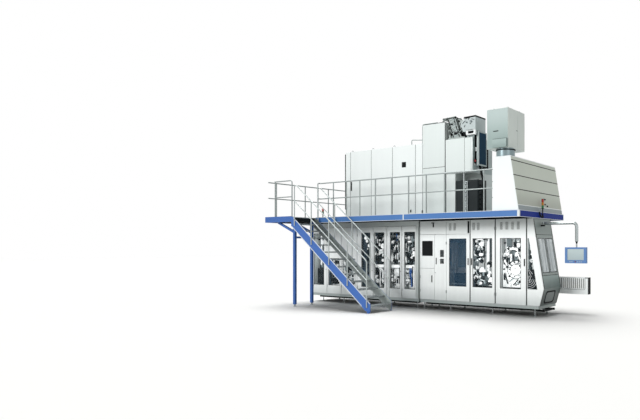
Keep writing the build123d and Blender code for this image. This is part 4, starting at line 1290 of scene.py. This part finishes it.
def guard(node, tubes, points):
    """Dress one guard rail: its tubes and the flanges of its posts."""
    piece(f"{node}_tubes", tubes + flanges(points), satin_tube, replaced=(node,))


landing_end = (landing_right - 0.025, landing_rail_y)
landing_start = (landing_rail_left, landing_rail_y)
guard("landing_rail", [tube([(*landing_end, deck_top), (*landing_end, top_rail),
            (landing_rail_left - guard_radius, landing_rail_y, top_rail)], guard_radius, bend=0.08),
        *posts([landing_start]),
        tube([(*landing_start, knee_rail), (*landing_end, knee_rail)], knee_radius)],
    [landing_start, landing_end])

end_posts = [(end_rail_x, y) for y in (-1.56, -0.32, 0.78, rear_rail_y)]
guard("end_rail", straight_rails((end_rail_x, landing_rail_y), (end_rail_x, rear_rail_y))
    + posts(end_posts), end_posts)

corner_x = landing_right + 0.05
return_y = walkway_front + 0.042
walkway_posts = [(x, walkway_rail_y) for x in post_stations]
guard("walkway_rail", [tube([(corner_x, return_y, deck_top), (corner_x, return_y, top_rail),
            (corner_x, walkway_rail_y, top_rail), (hood_left, walkway_rail_y, top_rail)], guard_radius,
            bend=0.07), tube([(corner_x, return_y, knee_rail), (corner_x, walkway_rail_y, knee_rail),
            (hood_left, walkway_rail_y, knee_rail)], knee_radius, bend=0.05), *posts(walkway_posts)],
    walkway_posts + [(corner_x, return_y)])

rear_posts = [(x, rear_rail_y) for x in (-4.095, -3.54, *post_stations)]
guard("rear_rail", straight_rails((end_rail_x + 0.044, rear_rail_y), (hood_left, rear_rail_y))
    + posts(rear_posts), rear_posts)


# Cabinet row
# A row of tall switch and process cabinets in satin stainless sheet: shells with folded, slightly
# proud doors, black latch and hinge blocks, lifting eyes, and one small black window.
# Painted shade darkens the lower part of the cabinets towards the deck.
cabinet_sheet = stainless("satin stainless cabinet sheet", "E3E9E8", 0.42, 0.1, 3.0,
    (2.75, 3.45, 0.12), "98A19F")
body_rear = 1.06
cabinet_top = 4.89
cabinet_seams = (-3.092, -2.874, -2.001, -1.153, -0.281, -0.024)


def cabinet(left, right, front, rear, low, high, inset=0.01):
    """Cabinet shell with a slightly proud front and rear door sheet."""
    shell = [block((left, front + 0.004, low), (right, rear - 0.004, high), bevel=0.006)]
    door = rectangle(left + inset, right - inset, low + 0.02, high - 0.016)
    shell.append(front_plate(door, front, 0.006, corner=0.006))
    shell.append(front_plate(door, rear - 0.006, 0.006, corner=0.006))
    return shell


row_shells = []
for left, right in zip(cabinet_seams, cabinet_seams[1:]):
    row_shells += cabinet(left + 0.003, right - 0.003, door_front, body_rear, deck_top, cabinet_top)
piece("cabinet_row_shells", row_shells, cabinet_sheet, replaced=("cabinet_row",))

cabinet_blacks = [front_sheet(-0.787, -0.635, 4.231, 4.391, -0.086, 0.01, corner=0.008),
    block((-2.846, -0.098, 3.63), (-2.816, -0.08, 3.92)),
    block((-0.47, -0.092, 2.86), (-0.43, -0.08, 2.94)),
    block((-0.045, -0.092, 2.83), (-0.015, -0.08, 2.91)),
    block((-3.108, -0.086, 3.05), (-3.08, -0.06, 4.83)),
    block((-3.104, -0.07, 3.02), (-3.092, -0.03, 3.24)),
    block((-3.104, -0.07, 4.48), (-3.092, -0.03, 4.64))]
for seam_x in cabinet_seams[1:-1]:
    cabinet_blacks.append(
        front_sheet(seam_x - 0.006, seam_x + 0.006, deck_top + 0.01, cabinet_top - 0.01, -0.077, 0.004))
piece("cabinet_row_fittings", cabinet_blacks, black_plastic)


def lifting_eye(x, y, top, height, radius):
    """Bent rod eye that stands on a lid."""
    return tube([(x - 0.02, y, top - 0.002), (x - 0.03, y, top + height), (x + 0.03, y, top + height),
            (x + 0.02, y, top - 0.002)], radius, bend=0.03, sides=8)


piece("lifting_eyes", [lifting_eye(x, y, cabinet_top, 0.05, 0.008) for y in (0.02, 0.95)
        for x in (-2.86, -2.001, -1.153)], turned_steel)


# Tall cabinet and pipe
# One higher cabinet of the same satin sheet, with a cross seam between its doors. A bent steel
# pipe rises from the row beside it and runs along its edges.
tall_top = 5.43
tall_left, tall_right = -0.014, 0.773
tall_seam = 4.14
tall = [block((tall_left, door_front + 0.004, deck_top), (tall_right, body_rear, tall_top),
        bevel=0.006), front_sheet(tall_left + 0.01, tall_right - 0.01, deck_top + 0.02,
        tall_seam - 0.006, door_front, 0.006, corner=0.006), front_sheet(tall_left + 0.01,
        tall_right - 0.01, tall_seam + 0.006, tall_top - 0.016, door_front, 0.006, corner=0.006)]
# The tall and filler cabinets take a darker copy of the cabinet sheet: painted shade.
shaded_tall_sheet = stainless("satin stainless sheet of the tall cabinets", "D3DBD9", 0.42, 0.1, 3.0)
piece("tall_cabinet_shell", tall, shaded_tall_sheet, replaced=("tall_cabinet",))
pipe_radius = 0.014
pipe_y = -0.056
pipe_x = tall_left - 0.017
pipe_top = tall_top + pipe_radius
pipes = [tube([(-0.433, pipe_y, cabinet_top), (-0.433, pipe_y, 5.03), (pipe_x, pipe_y, 4.99)],
        pipe_radius, bend=0.05),
    tube([(pipe_x, pipe_y, cabinet_top), (pipe_x, pipe_y, pipe_top), (0.495, pipe_y, pipe_top)],
        pipe_radius, bend=0.05)]
piece("cabinet_pipe_bent", pipes, bead_blasted, replaced=("cabinet_pipe",))
piece("tall_cabinet_edges", [front_sheet(tall_right - 0.004, tall_right + 0.008, deck_top + 0.02,
            tall_top, door_front - 0.001, 0.004, bevel=thin_bevel), front_sheet(tall_left + 0.01,
            tall_right, tall_top - 0.012, tall_top, door_front - 0.001, 0.004, bevel=thin_bevel)],
    black_plastic)


# Filler cabinet
# The cabinet over the filling station stands on a narrower plinth. Beside the plinth are a dark
# blower cabinet, and a bank of hoses, valves and a red knob at the cabinet's right edge. Black
# rubber closes the seams between the sheets.
filler_left, filler_right = 0.79, 1.69
filler_low, filler_high = 3.925, 4.905
filler_seam = 1.43
plinth_right = 1.105
plinth_front = -0.052
filler = [block((filler_left, door_front + 0.004, filler_low),
        (filler_right, body_rear, filler_high), bevel=0.006)]
filler += [front_sheet(left, right, filler_low + 0.01, filler_high - 0.014, door_front,
        0.006, corner=0.006) for left, right in ((filler_left + 0.008, filler_seam - 0.004),
        (filler_seam + 0.004, filler_right - 0.06))]
filler += [block((filler_left, -0.046, deck_top), (plinth_right, body_rear, filler_low)),
    block((plinth_right, 0.43, deck_top), (filler_right, body_rear, filler_low))]
filler += [front_sheet(filler_left + 0.01, plinth_right - 0.01, low, high, plinth_front, 0.006,
        corner=0.004) for low, high in ((deck_top + 0.02, 3.56), (3.58, filler_low - 0.01))]
piece("filler_cabinet_shell", filler, shaded_tall_sheet, replaced=("filler_cabinet",))

dark_coat = powder_coat("graphite powder coat", "1E2628", roughness=0.5, gloss=0.15)
blower = [plate(rectangle(1.113, 1.867, -0.06, 0.422), 0.965, facing_up(3.71, 0.965), corner=0.05,
        bevel=0.01), front_sheet(1.135, 1.395, deck_top + 0.03, 3.66, -0.068, 0.01, corner=0.04),
    front_sheet(1.56, 1.845, deck_top + 0.03, 3.66, -0.068, 0.01, corner=0.04)]
piece("blower_cabinet_shell", blower, dark_coat, replaced=("blower_cabinet",))
fitting = []
for k in range(8):
    z = deck_top + 0.1 + k * 0.11
    fitting.append(roller(0.022, 0.05, (1.478, -0.062, z), outwards))
    fitting.append(roller(0.012, 0.12, (1.425, -0.078, z + 0.05), lengthwise))
fitting.append(roller(0.016, 0.9, (1.44, -0.082, deck_top + 0.02), upright))
fitting.append(roller(0.016, 0.9, (1.52, -0.082, deck_top + 0.02), upright))
piece("blower_valve_bank", fitting, bright_chrome)

hoses = [tube([(1.73, 0.06, 4.66), (1.728, 0.05, 4.76), (1.735, 0.07, 4.9), (1.735, 0.07, 4.96)],
        0.01, bend=0.05, sides=8), roller(0.03, 0.035, (1.732, 0.055, 4.63), upright),
    roller(0.03, 0.04, (1.732, 0.055, 4.47), upright), block((1.7, 0.01, 4.19), (1.76, 0.07, 4.29)),
    tube([(1.905, 0.2, 2.75), (1.905, 0.2, 3.3), (1.86, 0.22, 3.7), (1.76, 0.2, 4.14)],
        0.03, bend=0.25)]
for k in range(6):
    hoses.append(roller(0.026, 0.045, (1.865, 0.02, 2.9 + 0.13 * k), lengthwise))
for strip in ((filler_seam - 0.004, filler_seam + 0.004, filler_low + 0.01, filler_high - 0.01),
        (tall_right + 0.001, filler_left - 0.001, filler_low, filler_high)):
    hoses.append(front_sheet(*strip, door_front + 0.001, 0.004, bevel=thin_bevel))
hoses.append(front_sheet(tall_left + 0.01, tall_right - 0.01, tall_seam - 0.006, tall_seam + 0.006,
        door_front + 0.001, 0.004, bevel=thin_bevel))
piece("filler_hoses", hoses, black_rubber)
piece("filler_valve", [roller(0.026, 0.13, (1.732, 0.055, 4.505), upright),
        roller(0.018, 0.05, (1.7, 0.04, 4.12), upright)], white_enamel)
red_plastic = moulded_rubber("red moulded plastic", "762A2A")
piece("filler_knob", [turned(((0.0, 0.0), (0.03, 0.0), (0.034, 0.012), (0.026, 0.03), (0.0, 0.034)),
            (1.73, 0.01, 4.24), outwards)], red_plastic)


# Glazed screen, motor box and infeed drive
# On and beside the filler cabinet: a framed dark-blue pane facing the outfeed, a sheet-metal drive
# box with one slot, and the inclined chutes and rollers that bring the web in.
screen_left, screen_right = 1.69, 1.835
screen_near, screen_far = 0.01, 0.47
screen_foot, screen_head = 4.11, 5.07
screen_frame = [
    block((1.775, screen_near, screen_foot), (screen_right - 0.02, screen_near + 0.03, screen_head)),
    block((screen_left, screen_near + 0.1, screen_foot), (1.775, screen_near + 0.12, screen_head)),
    block((screen_left, screen_far - 0.03, screen_foot),
        (screen_right - 0.02, screen_far, screen_head)), outfeed_sheet(screen_near, screen_far,
        screen_foot, screen_head, screen_right, 0.02, holes=(rectangle(screen_near + 0.04,
            screen_far - 0.025, screen_foot + 0.04, screen_head - 0.03),), corner=0.008)]
pale_coat = powder_coat("blue-grey powder coat, smooth", "AEBBBA", low_tone="9AA8A8")
hood_white = powder_coat("white powder coat", "F4F7F7", roughness=0.42, low_tone="E2EAEA")
piece("glazed_screen_frame", screen_frame, pale_coat, replaced=("glazed_screen",))
piece("glazed_screen_pane", [outfeed_sheet(screen_near + 0.03, screen_far - 0.02, screen_foot + 0.03,
            screen_head - 0.02, 1.825, 0.008)], powder_coat("dark blue laminated glass, matt", "2A475C",
        roughness=0.5, low_tone="1E3648", gloss=0.02))
# The black block beyond the screen's far side stands in for the shade in the gap there: painted shade.
piece("glazed_screen_back",
    [block((1.692, 0.045, 4.14), (1.7, 0.44, 5.04)), block((1.69, 0.475, 4.05), (1.76, 0.7, 4.9))],
    black_plastic)
piece("filler_side_sheet",
    [outfeed_sheet(-0.07, 1.05, filler_low + 0.01, filler_high - 0.01, filler_right + 0.003, 0.004)],
    pale_coat)

# The drive box: a cheek plate with a cut corner, a slotted apron under it and a dark lid
drive_front, drive_rear = -0.08, 0.49
drive_depth = drive_rear - drive_front
box_outline = [(1.38, 5.075), (1.787, 5.075), (1.787, 5.456), (1.413, 5.446), (1.3, 5.3)]
drive_box = [front_plate(box_outline, drive_front, drive_depth, bevel=0.004),
    block((1.47, -0.01, filler_high), (1.69, 0.47, 5.075))]
pale_grey_coat = powder_coat("pale grey sheet", "BAC6C6", low_tone="A3B0B1")
piece("motor_box_shell", drive_box, pale_grey_coat, replaced=("motor_box",))
piece("motor_slot_frame", [front_sheet(1.476, 1.787, 4.965, 5.118, drive_front, 0.07,
            holes=(rectangle(1.54, 1.722, 5.004, 5.088),), corner=0.035)], hood_white)
box_darks = [front_plate([(1.395, 5.446), (1.787, 5.456), (1.787, 5.5), (1.413, 5.49)],
        drive_front, drive_depth, bevel=0.002), block((1.53, -0.06, 4.995), (1.735, -0.05, 5.095)),
    tube([(1.48, -0.086, 4.975), (1.5, -0.086, 4.96), (1.76, -0.086, 4.96)], 0.007, sides=8)]
for x, z, long, tilt in ((1.36, 5.3, 0.16, 38.0), (1.45, 5.43, 0.14, 75.0), (1.55, 5.4, 0.12, 30.0),
        (1.66, 5.41, 0.1, 120.0), (1.42, 5.2, 0.1, 20.0), (1.6, 5.3, 0.07, 150.0)):
    x_end = x + long * math.sin(math.radians(tilt))
    z_end = min(z + long * math.cos(math.radians(tilt)) * 0.6, 5.48)
    box_darks += bars(drive_front - 0.004, 0.008, (x, z, x_end, z_end))
piece("motor_box_fittings", box_darks, black_plastic)
box_brights = [roller(0.035, 0.05, (1.64, drive_front + 0.01, 5.34), outwards),
    roller(0.022, 0.05, (1.5, drive_front + 0.01, 5.33), outwards)]
piece("motor_box_rollers", box_brights, slate_enamel)

# The leaning transfer unit: cheek plates with ribs and rollers between, over a dark well
bed_top = filler_high + 0.06
unit_outline = [(1.0, bed_top), (1.285, bed_top), (1.075, 5.575), (0.79, 5.56)]
unit_lean = math.atan2(0.21, 0.61)
grey_casting = powder_coat("grey cast aluminium", "AEB9B5", low_tone="86928F")
castings = [front_plate(unit_outline, y, 0.03, bevel=0.004) for y in (0.02, 0.3)]
castings += [block((0.805, 0.02, filler_high), (1.37, 0.9, bed_top)),
    block((0.64, 0.06, 5.5), (0.81, 0.25, 5.56)),
    block((0.815, 0.06, bed_top), (0.99, 0.33, bed_top + 0.13)),
    front_plate([(0.8, 5.3), (0.9, 5.3), (0.86, 5.48), (0.8, 5.52)], 0.06, 0.05),
    front_plate([(1.13, 5.18), (1.29, 5.08), (1.33, 5.33), (1.25, 5.47), (1.1, 5.54), (1.06, 5.44)],
        0.06, 0.03),
    front_plate([(0.83, bed_top), (0.9, bed_top), (0.87, 5.18), (0.815, 5.23)], 0.03, 0.02)]
castings += bars(0.01, 0.014, (0.63, 5.47, 0.79, 5.545), (0.79, 5.545, 1.08, 5.56),
    (0.64, 5.54, 0.7, 5.44), (0.72, 5.42, 0.86, 5.33), (0.88, 5.2, 0.99, 5.06), (1.18, 5.06, 1.3, 5.18))
ribs = []
wells = [block((1.11, 0.2, bed_top), (1.33, 0.28, 5.44)),
    block((0.8, 0.05, bed_top + 0.02), (0.87, 0.06, 5.2)),
    block((0.9, 0.05, bed_top + 0.08), (0.96, 0.058, 5.12)),
    block((1.03, 0.0, 5.04), (1.13, 0.02, 5.11)), block((0.9, 0.0, 5.33), (1.0, 0.02, 5.37)),
    block((0.815, 0.33, bed_top), (1.28, 0.88, 5.42)), block((1.29, 0.06, bed_top), (1.4, 0.33, 5.12))]
for k in range(7):
    share = 0.1 + 0.13 * k
    x = 1.142 - share * 0.21
    z = bed_top + share * 0.61
    turn = Matrix.Translation((x, 0.012, z)) @ Matrix.Rotation(-unit_lean, 4, "Y")
    rib = block((-0.11, -0.008, -0.012), (0.11, 0.01, 0.012), bevel=0.002)
    rib.transform(turn)
    ribs.append(rib)
    if k % 2:
        knob = roller(0.02, 0.03, (0.05, 0.0, 0.03), outwards)
        knob.transform(turn)
        ribs.append(knob)
for x, z, size in ((1.16, 5.42, 0.03), (1.23, 5.33, 0.022), (1.18, 5.26, 0.016), (1.27, 5.21, 0.026),
        (1.12, 5.5, 0.012), (0.85, 5.08, 0.016)):
    wells.append(roller(size, 0.02, (x, 0.055, z), outwards))
wells += bars(0.0, 0.008, (0.64, 5.45, 0.79, 5.52), (0.73, 5.4, 0.8, 5.36), (1.06, 5.56, 1.29, 5.44),
    (1.15, 5.13, 1.28, 5.06))
for edge in (-0.135, 0.06, 0.135):
    wells += bars(0.008, 0.012, (1.142 + edge, bed_top + 0.01, 0.932 + edge, 5.56))
pick = random.Random(7)
for k in range(8):
    x = 0.83 + 0.06 * k
    z = 4.99 + pick.uniform(0.0, 0.1)
    wells.append(tube([(x, 0.05, z), (x + 0.05, 0.0, z + 0.1), (x + 0.02, 0.05, z + 0.2)], 0.01,
            bend=0.06, sides=8))
    wells.append(roller(0.018, 0.05, (0.66 + 0.055 * k, 0.04, 5.535), outwards))
piece("infeed_castings", castings, grey_casting, replaced=("transfer_drive",))
piece("infeed_ribs", ribs, pale_coat)
piece("infeed_wells_and_hoses", wells, black_plastic)


# Hood
# A folded sheet hood over the outfeed end. Its front is coated bright white, and its sloping end
# is beige-grey with three pressed grooves and a plain lower skirt.
hood_top = 4.15
hood_front, hood_rear = -0.893, 1.953
hood_top_right, hood_bottom_right = 3.278, 3.509
# The sloping end darkens towards its foot: painted shade.
hood_grey = stainless("beige-grey coated sheet", "D0D8CC", 0.45, 0.0, 1.5, (2.88, 3.4, 0.45), "86897E")
hood_outline = [(hood_left, deck_top), (hood_bottom_right, deck_top), (hood_top_right, hood_top),
    (hood_left + 0.05, hood_top), (hood_left, hood_top - 0.06)]
hood_shell = front_plate(hood_outline, hood_front, hood_rear - hood_front, bevel=0.01)
piece("hood_shell", [hood_shell], hood_white, replaced=("hood",))

hood_slope = math.atan((hood_bottom_right - hood_top_right) / (hood_top - deck_top))
hood_end = (hood_bottom_right, deck_top, -hood_slope, 0.0)
hood_slant = (hood_top - deck_top) / math.cos(hood_slope)
grooves = [(level - deck_top) / math.cos(hood_slope) for level in (3.292, 3.656, 4.037)]
band_edges = [0.15, *grooves, hood_slant - 0.012]
hood_span = (hood_front + 0.012, hood_rear - 0.012)
sheet_depth = 0.01
bands = [leaning_sheet(hood_end, *hood_span, low + 0.011, high - 0.011, sheet_depth, 0.004,
        corner=0.006) for low, high in zip(band_edges, band_edges[1:])]
piece("hood_end_sheets", bands, hood_grey)
skirt_coat = powder_coat("blue-grey powder coat", "8E9B9F")
piece("hood_skirt",
    [leaning_sheet(hood_end, *hood_span, 0.004, 0.14, sheet_depth, 0.004, corner=0.004)],
    skirt_coat)
# Black strips in the three pressed grooves stand in for the shade in them: painted shade.
piece("hood_grooves", [leaning_sheet(hood_end, hood_front + 0.006, hood_rear - 0.006, groove - 0.013,
            groove + 0.013, 0.006, 0.003, bevel=0.001) for groove in grooves], black_rubber)
button_profile = ((0.0, 0.0), (0.024, 0.0), (0.024, 0.012), (0.014, 0.03), (0.0, 0.034))
hood_fittings = [turned(button_profile,
        (hood_bottom_right - z * math.tan(hood_slope) + 0.004, y, deck_top + z), lengthwise, sides=12)
    for y, z in ((0.62, 0.26), (0.68, 0.36), (0.78, 0.24), (0.82, 0.38), (0.92, 0.2))]
piece("hood_fittings", hood_fittings, black_plastic)


# Air filter
# A sheet-metal filter box on a round neck, with a clamp ring under it, a small terminal box on
# its front, a slot vent and lifting lugs on the lid.
duct_centre = (3.025, -0.66)
duct_radius = 0.24
filter_low, filter_high = 4.356, 5.378
neck = turned(((0.0, 0.0), (duct_radius, 0.0), (duct_radius, 0.15), (duct_radius - 0.01, 0.158),
        (duct_radius - 0.01, 0.206), (0.0, 0.206)), (*duct_centre, hood_top), sides=40)
piece("filter_neck", [neck], stainless("rolled stainless duct", "84969A", 0.3, 0.45, 12.0),
    replaced=("filter_duct",))
piece("filter_neck_ring",
    [turned(((duct_radius - 0.02, 0.15), (duct_radius + 0.012, 0.152), (duct_radius + 0.012, 0.18),
            (duct_radius - 0.02, 0.182)), (*duct_centre, hood_top), sides=40)], black_rubber)
# The box and its end sheets take a lighter coat than the front: painted light on the outfeed side.
lit_filter_coat = powder_coat("pale cabinet powder coat", "D8E2DB", low_tone="C4CCC9")
filter_box = [block((2.593, -0.874, filter_low), (3.204, 0.08, filter_high), bevel=0.005),
    outfeed_sheet(-0.866, -0.34, filter_low + 0.01, filter_high - 0.012, 3.21, 0.006, corner=0.006),
    outfeed_sheet(-0.328, 0.07, filter_low + 0.01, filter_high - 0.012, 3.21, 0.006, corner=0.006)]
piece("filter_box_shell", filter_box, lit_filter_coat, replaced=("filter_box",))
# The front sheet is a darker copy, darker still towards its foot: painted shade.
shaded_filter_front = stainless("satin sheet of the filter front", "A6B5B3", 0.45, 0.1, 3.0,
    (4.6, 5.3, 0.8), "80938F")
piece("filter_box_front",
    [front_sheet(2.603, 3.196, filter_low + 0.01, filter_high - 0.012, -0.88, 0.006, corner=0.006),
        block((2.797, -0.96, filter_low + 0.007), (3.198, -0.88, 4.59), bevel=0.006)], shaded_filter_front)
piece("filter_terminal_edge", [front_sheet(2.8, 3.195, 4.582, 4.59, -0.9605, 0.004, bevel=0.001),
        block((3.198, -0.958, filter_low + 0.02), (3.202, -0.946, 4.588), bevel=0.001)],
    black_rubber)
piece("filter_box_slot", [front_sheet(2.78, 2.93, 4.79, 4.815, -0.883, 0.004, corner=0.008),
        outfeed_sheet(-0.42, -0.36, 4.84, 4.855, 3.213, 0.004)], black_rubber)
piece("filter_box_lugs",
    [lifting_eye(x, y, filter_high, 0.045, 0.007) for y in (-0.7, -0.05) for x in (2.7, 3.1)],
    turned_steel)


# Signal towers
# Stacks of coloured lens rings: a red, amber and green one outside the end fascia, on a bracket with
# a looped sleeve, and a small red and green one at the head of the stair.
def lens(name, tone):
    """Moulded acrylic lens: glossy and faintly ribbed."""
    material, tree, shader, place = new_material(name)
    ribs = add_node(tree, "ShaderNodeTexWave", {"Vector": place, "Scale": 40.0}, bands_direction="Z")
    relief = add_node(tree, "ShaderNodeBump",
        {"Height": ribs.outputs["Fac"], "Strength": 0.2, "Distance": 0.002})
    tree.links.new(relief.outputs["Normal"], shader.inputs["Normal"])
    drift = add_node(tree, "ShaderNodeTexNoise", {"Vector": place, "Scale": 20.0})
    colour = add_node(tree, "ShaderNodeMix",
        {0: drift.outputs["Fac"], 6: shade(tone, 0.7), 7: linear(tone)}, data_type="RGBA")
    tree.links.new(colour.outputs[2], shader.inputs["Base Color"])
    shader.inputs["Roughness"].default_value = 0.15
    return material


red_lens = lens("red acrylic lens", "B8271E")
amber_lens = lens("amber acrylic lens", "D98A1C")
green_lens = lens("green acrylic lens", "2E7D46")


def lens_ring(x, y, low, high, radius=0.032):
    """One lens of a signal tower."""
    return turned(((0.0, low), (radius * 0.9, low), (radius, low + 0.006), (radius, high - 0.006),
            (radius * 0.9, high), (0.0, high)), (x, y, 0.0), sides=24)


signal_x, signal_y = 3.58, 0.405
end_signal_at = (signal_x, signal_y)
landing_signal_at = (-3.365, -0.83)
end_post_profile = ((0.0, 2.65), (0.015, 2.65), (0.015, 2.84), (0.034, 2.846),
    (0.034, 2.862), (0.0, 2.862))
landing_post_profile = ((0.0, deck_top), (0.03, deck_top), (0.03, deck_top + 0.01),
    (0.015, deck_top + 0.02), (0.015, 2.85), (0.0, 2.85))
sleeve_run = ((signal_x, signal_y, 2.7), (signal_x, signal_y + 0.02, 2.64),
    (signal_x, signal_y - 0.14, 2.64), (walkway_right + 0.022, signal_y - 0.16, 2.76))
piece("end_signal_post", [turned(end_post_profile, (*end_signal_at, 0.0)),
        block((walkway_right, 0.375, 2.61), (walkway_right + 0.075, 0.435, 2.65)),
        lens_ring(*end_signal_at, 3.104, 3.114), tube(sleeve_run, 0.018, bend=0.06, sides=10),
        turned(landing_post_profile, (*landing_signal_at, 0.0))], black_plastic,
    replaced=("end_signal",))
piece("signal_lens_red",
    [lens_ring(*end_signal_at, 3.024, 3.104), lens_ring(*landing_signal_at, 2.95, 3.045)], red_lens,
    replaced=("landing_signal",))
piece("signal_lens_amber", [lens_ring(*end_signal_at, 2.943, 3.024)], amber_lens)
piece("signal_lens_green",
    [lens_ring(*end_signal_at, 2.862, 2.943), lens_ring(*landing_signal_at, 2.85, 2.95)],
    green_lens)


# Operator panel
# A bent tube swings the panel out from a lug on the end face. The panel is a blue enclosure with a
# pale screen, a row of keys, one stop button, and a grab handle.
arm_x, arm_y = 3.605, 0.41
arm_level = 2.455
arm_drop = 4.523
panel_left, panel_right = 4.219, 4.795
panel_x = (panel_left + panel_right) / 2
panel_low, panel_high = 1.405, 1.82
bright_tube = stainless("polished stainless tube", "A2A9A9", 0.2, 0.85, 30.0)
refinish("arm_bracket", black_plastic)
arm = [tube([(arm_x + 0.01, arm_y, arm_level), (arm_drop, arm_y, arm_level), (arm_drop, arm_y, 1.97)],
        0.042, bend=0.12, sides=16, steps=8),
    turned(((0.018, 2.424), (0.044, 2.424), (0.044, 2.49), (0.018, 2.49), (0.018, 2.424)),
        (arm_x, arm_y, 0.0), sides=24)]
piece("panel_arm_tube", arm, bright_tube, "panel_arm", replaced=("panel_arm",))
piece("panel_arm_neck",
    [turned(((0.0, 1.83), (0.012, 1.83), (0.012, 1.91), (0.024, 1.925), (0.024, 1.955), (0.036, 1.96),
            (0.036, 1.978), (0.0, 1.978)), (arm_drop, arm_y, 0.0), sides=24)], black_plastic,
    "panel_arm")

panel_coat = powder_coat("panel blue powder coat", "4C7AB4")
enclosure = [front_sheet(panel_left, panel_right, panel_low,
        panel_high, arm_y - 0.033, 0.078, corner=0.014, bevel=0.006),
    front_sheet(panel_left, panel_right, panel_low, panel_high, arm_y - 0.045, 0.012, corner=0.014,
        holes=(rectangle(panel_x - 0.22, panel_x + 0.22, panel_low + 0.08, panel_high - 0.045),))]
piece("operator_panel_case", enclosure, panel_coat, "operator_panel",
    replaced=("operator_panel",))

piece("operator_panel_collar",
    [turned(((0.014, 1.82), (0.02, 1.82), (0.02, 1.905), (0.014, 1.905), (0.014, 1.82)),
            (arm_drop, arm_y, 0.0), sides=24)], bright_tube, "operator_panel")

screen_face, tree, shader, place = new_material("pale display glass")
level = add_node(tree, "ShaderNodeSeparateXYZ", {0: place})
fade = add_node(tree, "ShaderNodeMapRange",
    {"Value": level.outputs["Z"], "From Min": panel_low, "From Max": panel_high})
glow = add_node(tree, "ShaderNodeMix",
    {0: fade.outputs["Result"], 6: linear("A3B4B8"), 7: linear("BFCDCE")}, data_type="RGBA")
tree.links.new(glow.outputs[2], shader.inputs["Base Color"])
shader.inputs["Roughness"].default_value = 0.12
piece("operator_panel_screen", [front_sheet(panel_x - 0.218, panel_x + 0.218, panel_low + 0.082,
            panel_high - 0.047, arm_y - 0.041, 0.006, corner=0.006)], screen_face,
    "operator_panel")
keys = [front_sheet(panel_x - 0.16 + k * 0.05, panel_x - 0.13 + k * 0.05, panel_low + 0.03,
        panel_low + 0.05, arm_y - 0.048, 0.004, corner=0.004, bevel=0.001) for k in (0, 1, 4, 5, 6)]
piece("operator_panel_keys", keys, pale_coat, "operator_panel")
piece("operator_panel_stop",
    [turned(((0.0, 0.0), (0.012, 0.0), (0.016, 0.008), (0.012, 0.018), (0.0, 0.02)),
            (panel_x - 0.005, arm_y - 0.045, panel_low + 0.04), outwards)], red_plastic,
    "operator_panel")
grab_x = panel_right - 0.03
piece("operator_panel_grab",
    [tube([(grab_x, arm_y + 0.03, panel_low + 0.05), (grab_x, arm_y + 0.075, panel_low + 0.05),
            (grab_x, arm_y + 0.075, panel_high - 0.05), (grab_x, arm_y + 0.03, panel_high - 0.05)],
            0.009, bend=0.02, sides=8)], black_rubber, "operator_panel")


# Outfeed conveyor
# A flat-top chain runs between stainless guards that are slotted at the outer end. Its drive head
# closes in a dark end cap, and two pairs of legs carry it behind the machine.
refinish("conveyor_stands", zinc)
# The guard sheet's tone is raised almost to white: painted light for a guard in the machine's shadow.
lightened_guard_sheet = stainless("stainless conveyor guard", "F2F6F5", 0.36, 0.05, 9.0)
conveyor_left, conveyor_right = 2.445, 4.56
conveyor_front, conveyor_rear = 1.17, 1.35
guard_low, guard_high = 0.545, 1.0
belt_level = 0.68
slot_pitch = 0.058
slot_width = 0.028
last_slot = 4.436
slots = [rectangle(last_slot - k * slot_pitch - slot_width / 2, last_slot - k * slot_pitch + slot_width
        / 2, belt_level + 0.02, guard_high - 0.025) for k in range(12)]
guards = [front_sheet(conveyor_left, conveyor_right - 0.012, guard_low, guard_high, y, 0.012,
        holes=slots, bevel=0.001) for y in (conveyor_front, conveyor_rear - 0.012)]
piece("conveyor_guard_sheets", guards, lightened_guard_sheet, replaced=("conveyor_guards",))
piece("conveyor_guard_bead", [tube([(conveyor_left + 0.5, conveyor_front, belt_level - 0.01),
            (last_slot + 0.036, conveyor_front, belt_level - 0.01),
            (last_slot + 0.036, conveyor_front, guard_high - 0.015)], 0.004, bend=0.05, sides=6)],
    grey_rubber)
piece("conveyor_end_cap", [block((conveyor_right - 0.012, conveyor_front, guard_low),
            (conveyor_right, conveyor_rear, guard_high), bevel=0.004),
        block((last_slot + 0.03, conveyor_front - 0.002, guard_high - 0.02),
            (conveyor_right - 0.012, conveyor_front + 0.004, guard_high))], black_plastic)
# Dark bars behind the front guard, one at each slot's edge, stand in for the shade in the slots:
# painted shade.
slot_shade_bar = block((-0.014, conveyor_front + 0.012, belt_level + 0.02),
    (-0.007, conveyor_front + 0.04, guard_high - 0.025), bevel=0.001)
piece("conveyor_guard_ribs",
    [row(slot_shade_bar, 12, (last_slot - 11 * slot_pitch, 0.0, 0.0), (slot_pitch, 0.0, 0.0), grey_rubber)],
    grey_rubber)
slat = block((0.0, 0.0, 0.0), (0.072, 0.15, 0.006), bevel=0.0015)
chain_plastic = moulded_rubber("grey acetal chain", "6D7476")
belt = [row(slat, 26, (conveyor_left + 0.03, conveyor_front + 0.015, belt_level - 0.006),
        (0.078, 0.0, 0.0), chain_plastic), block((conveyor_left, conveyor_front + 0.014, 0.57),
        (conveyor_right - 0.022, conveyor_rear - 0.014, belt_level - 0.006))]
piece("conveyor_chain", belt, chain_plastic, replaced=("conveyor_bed",))
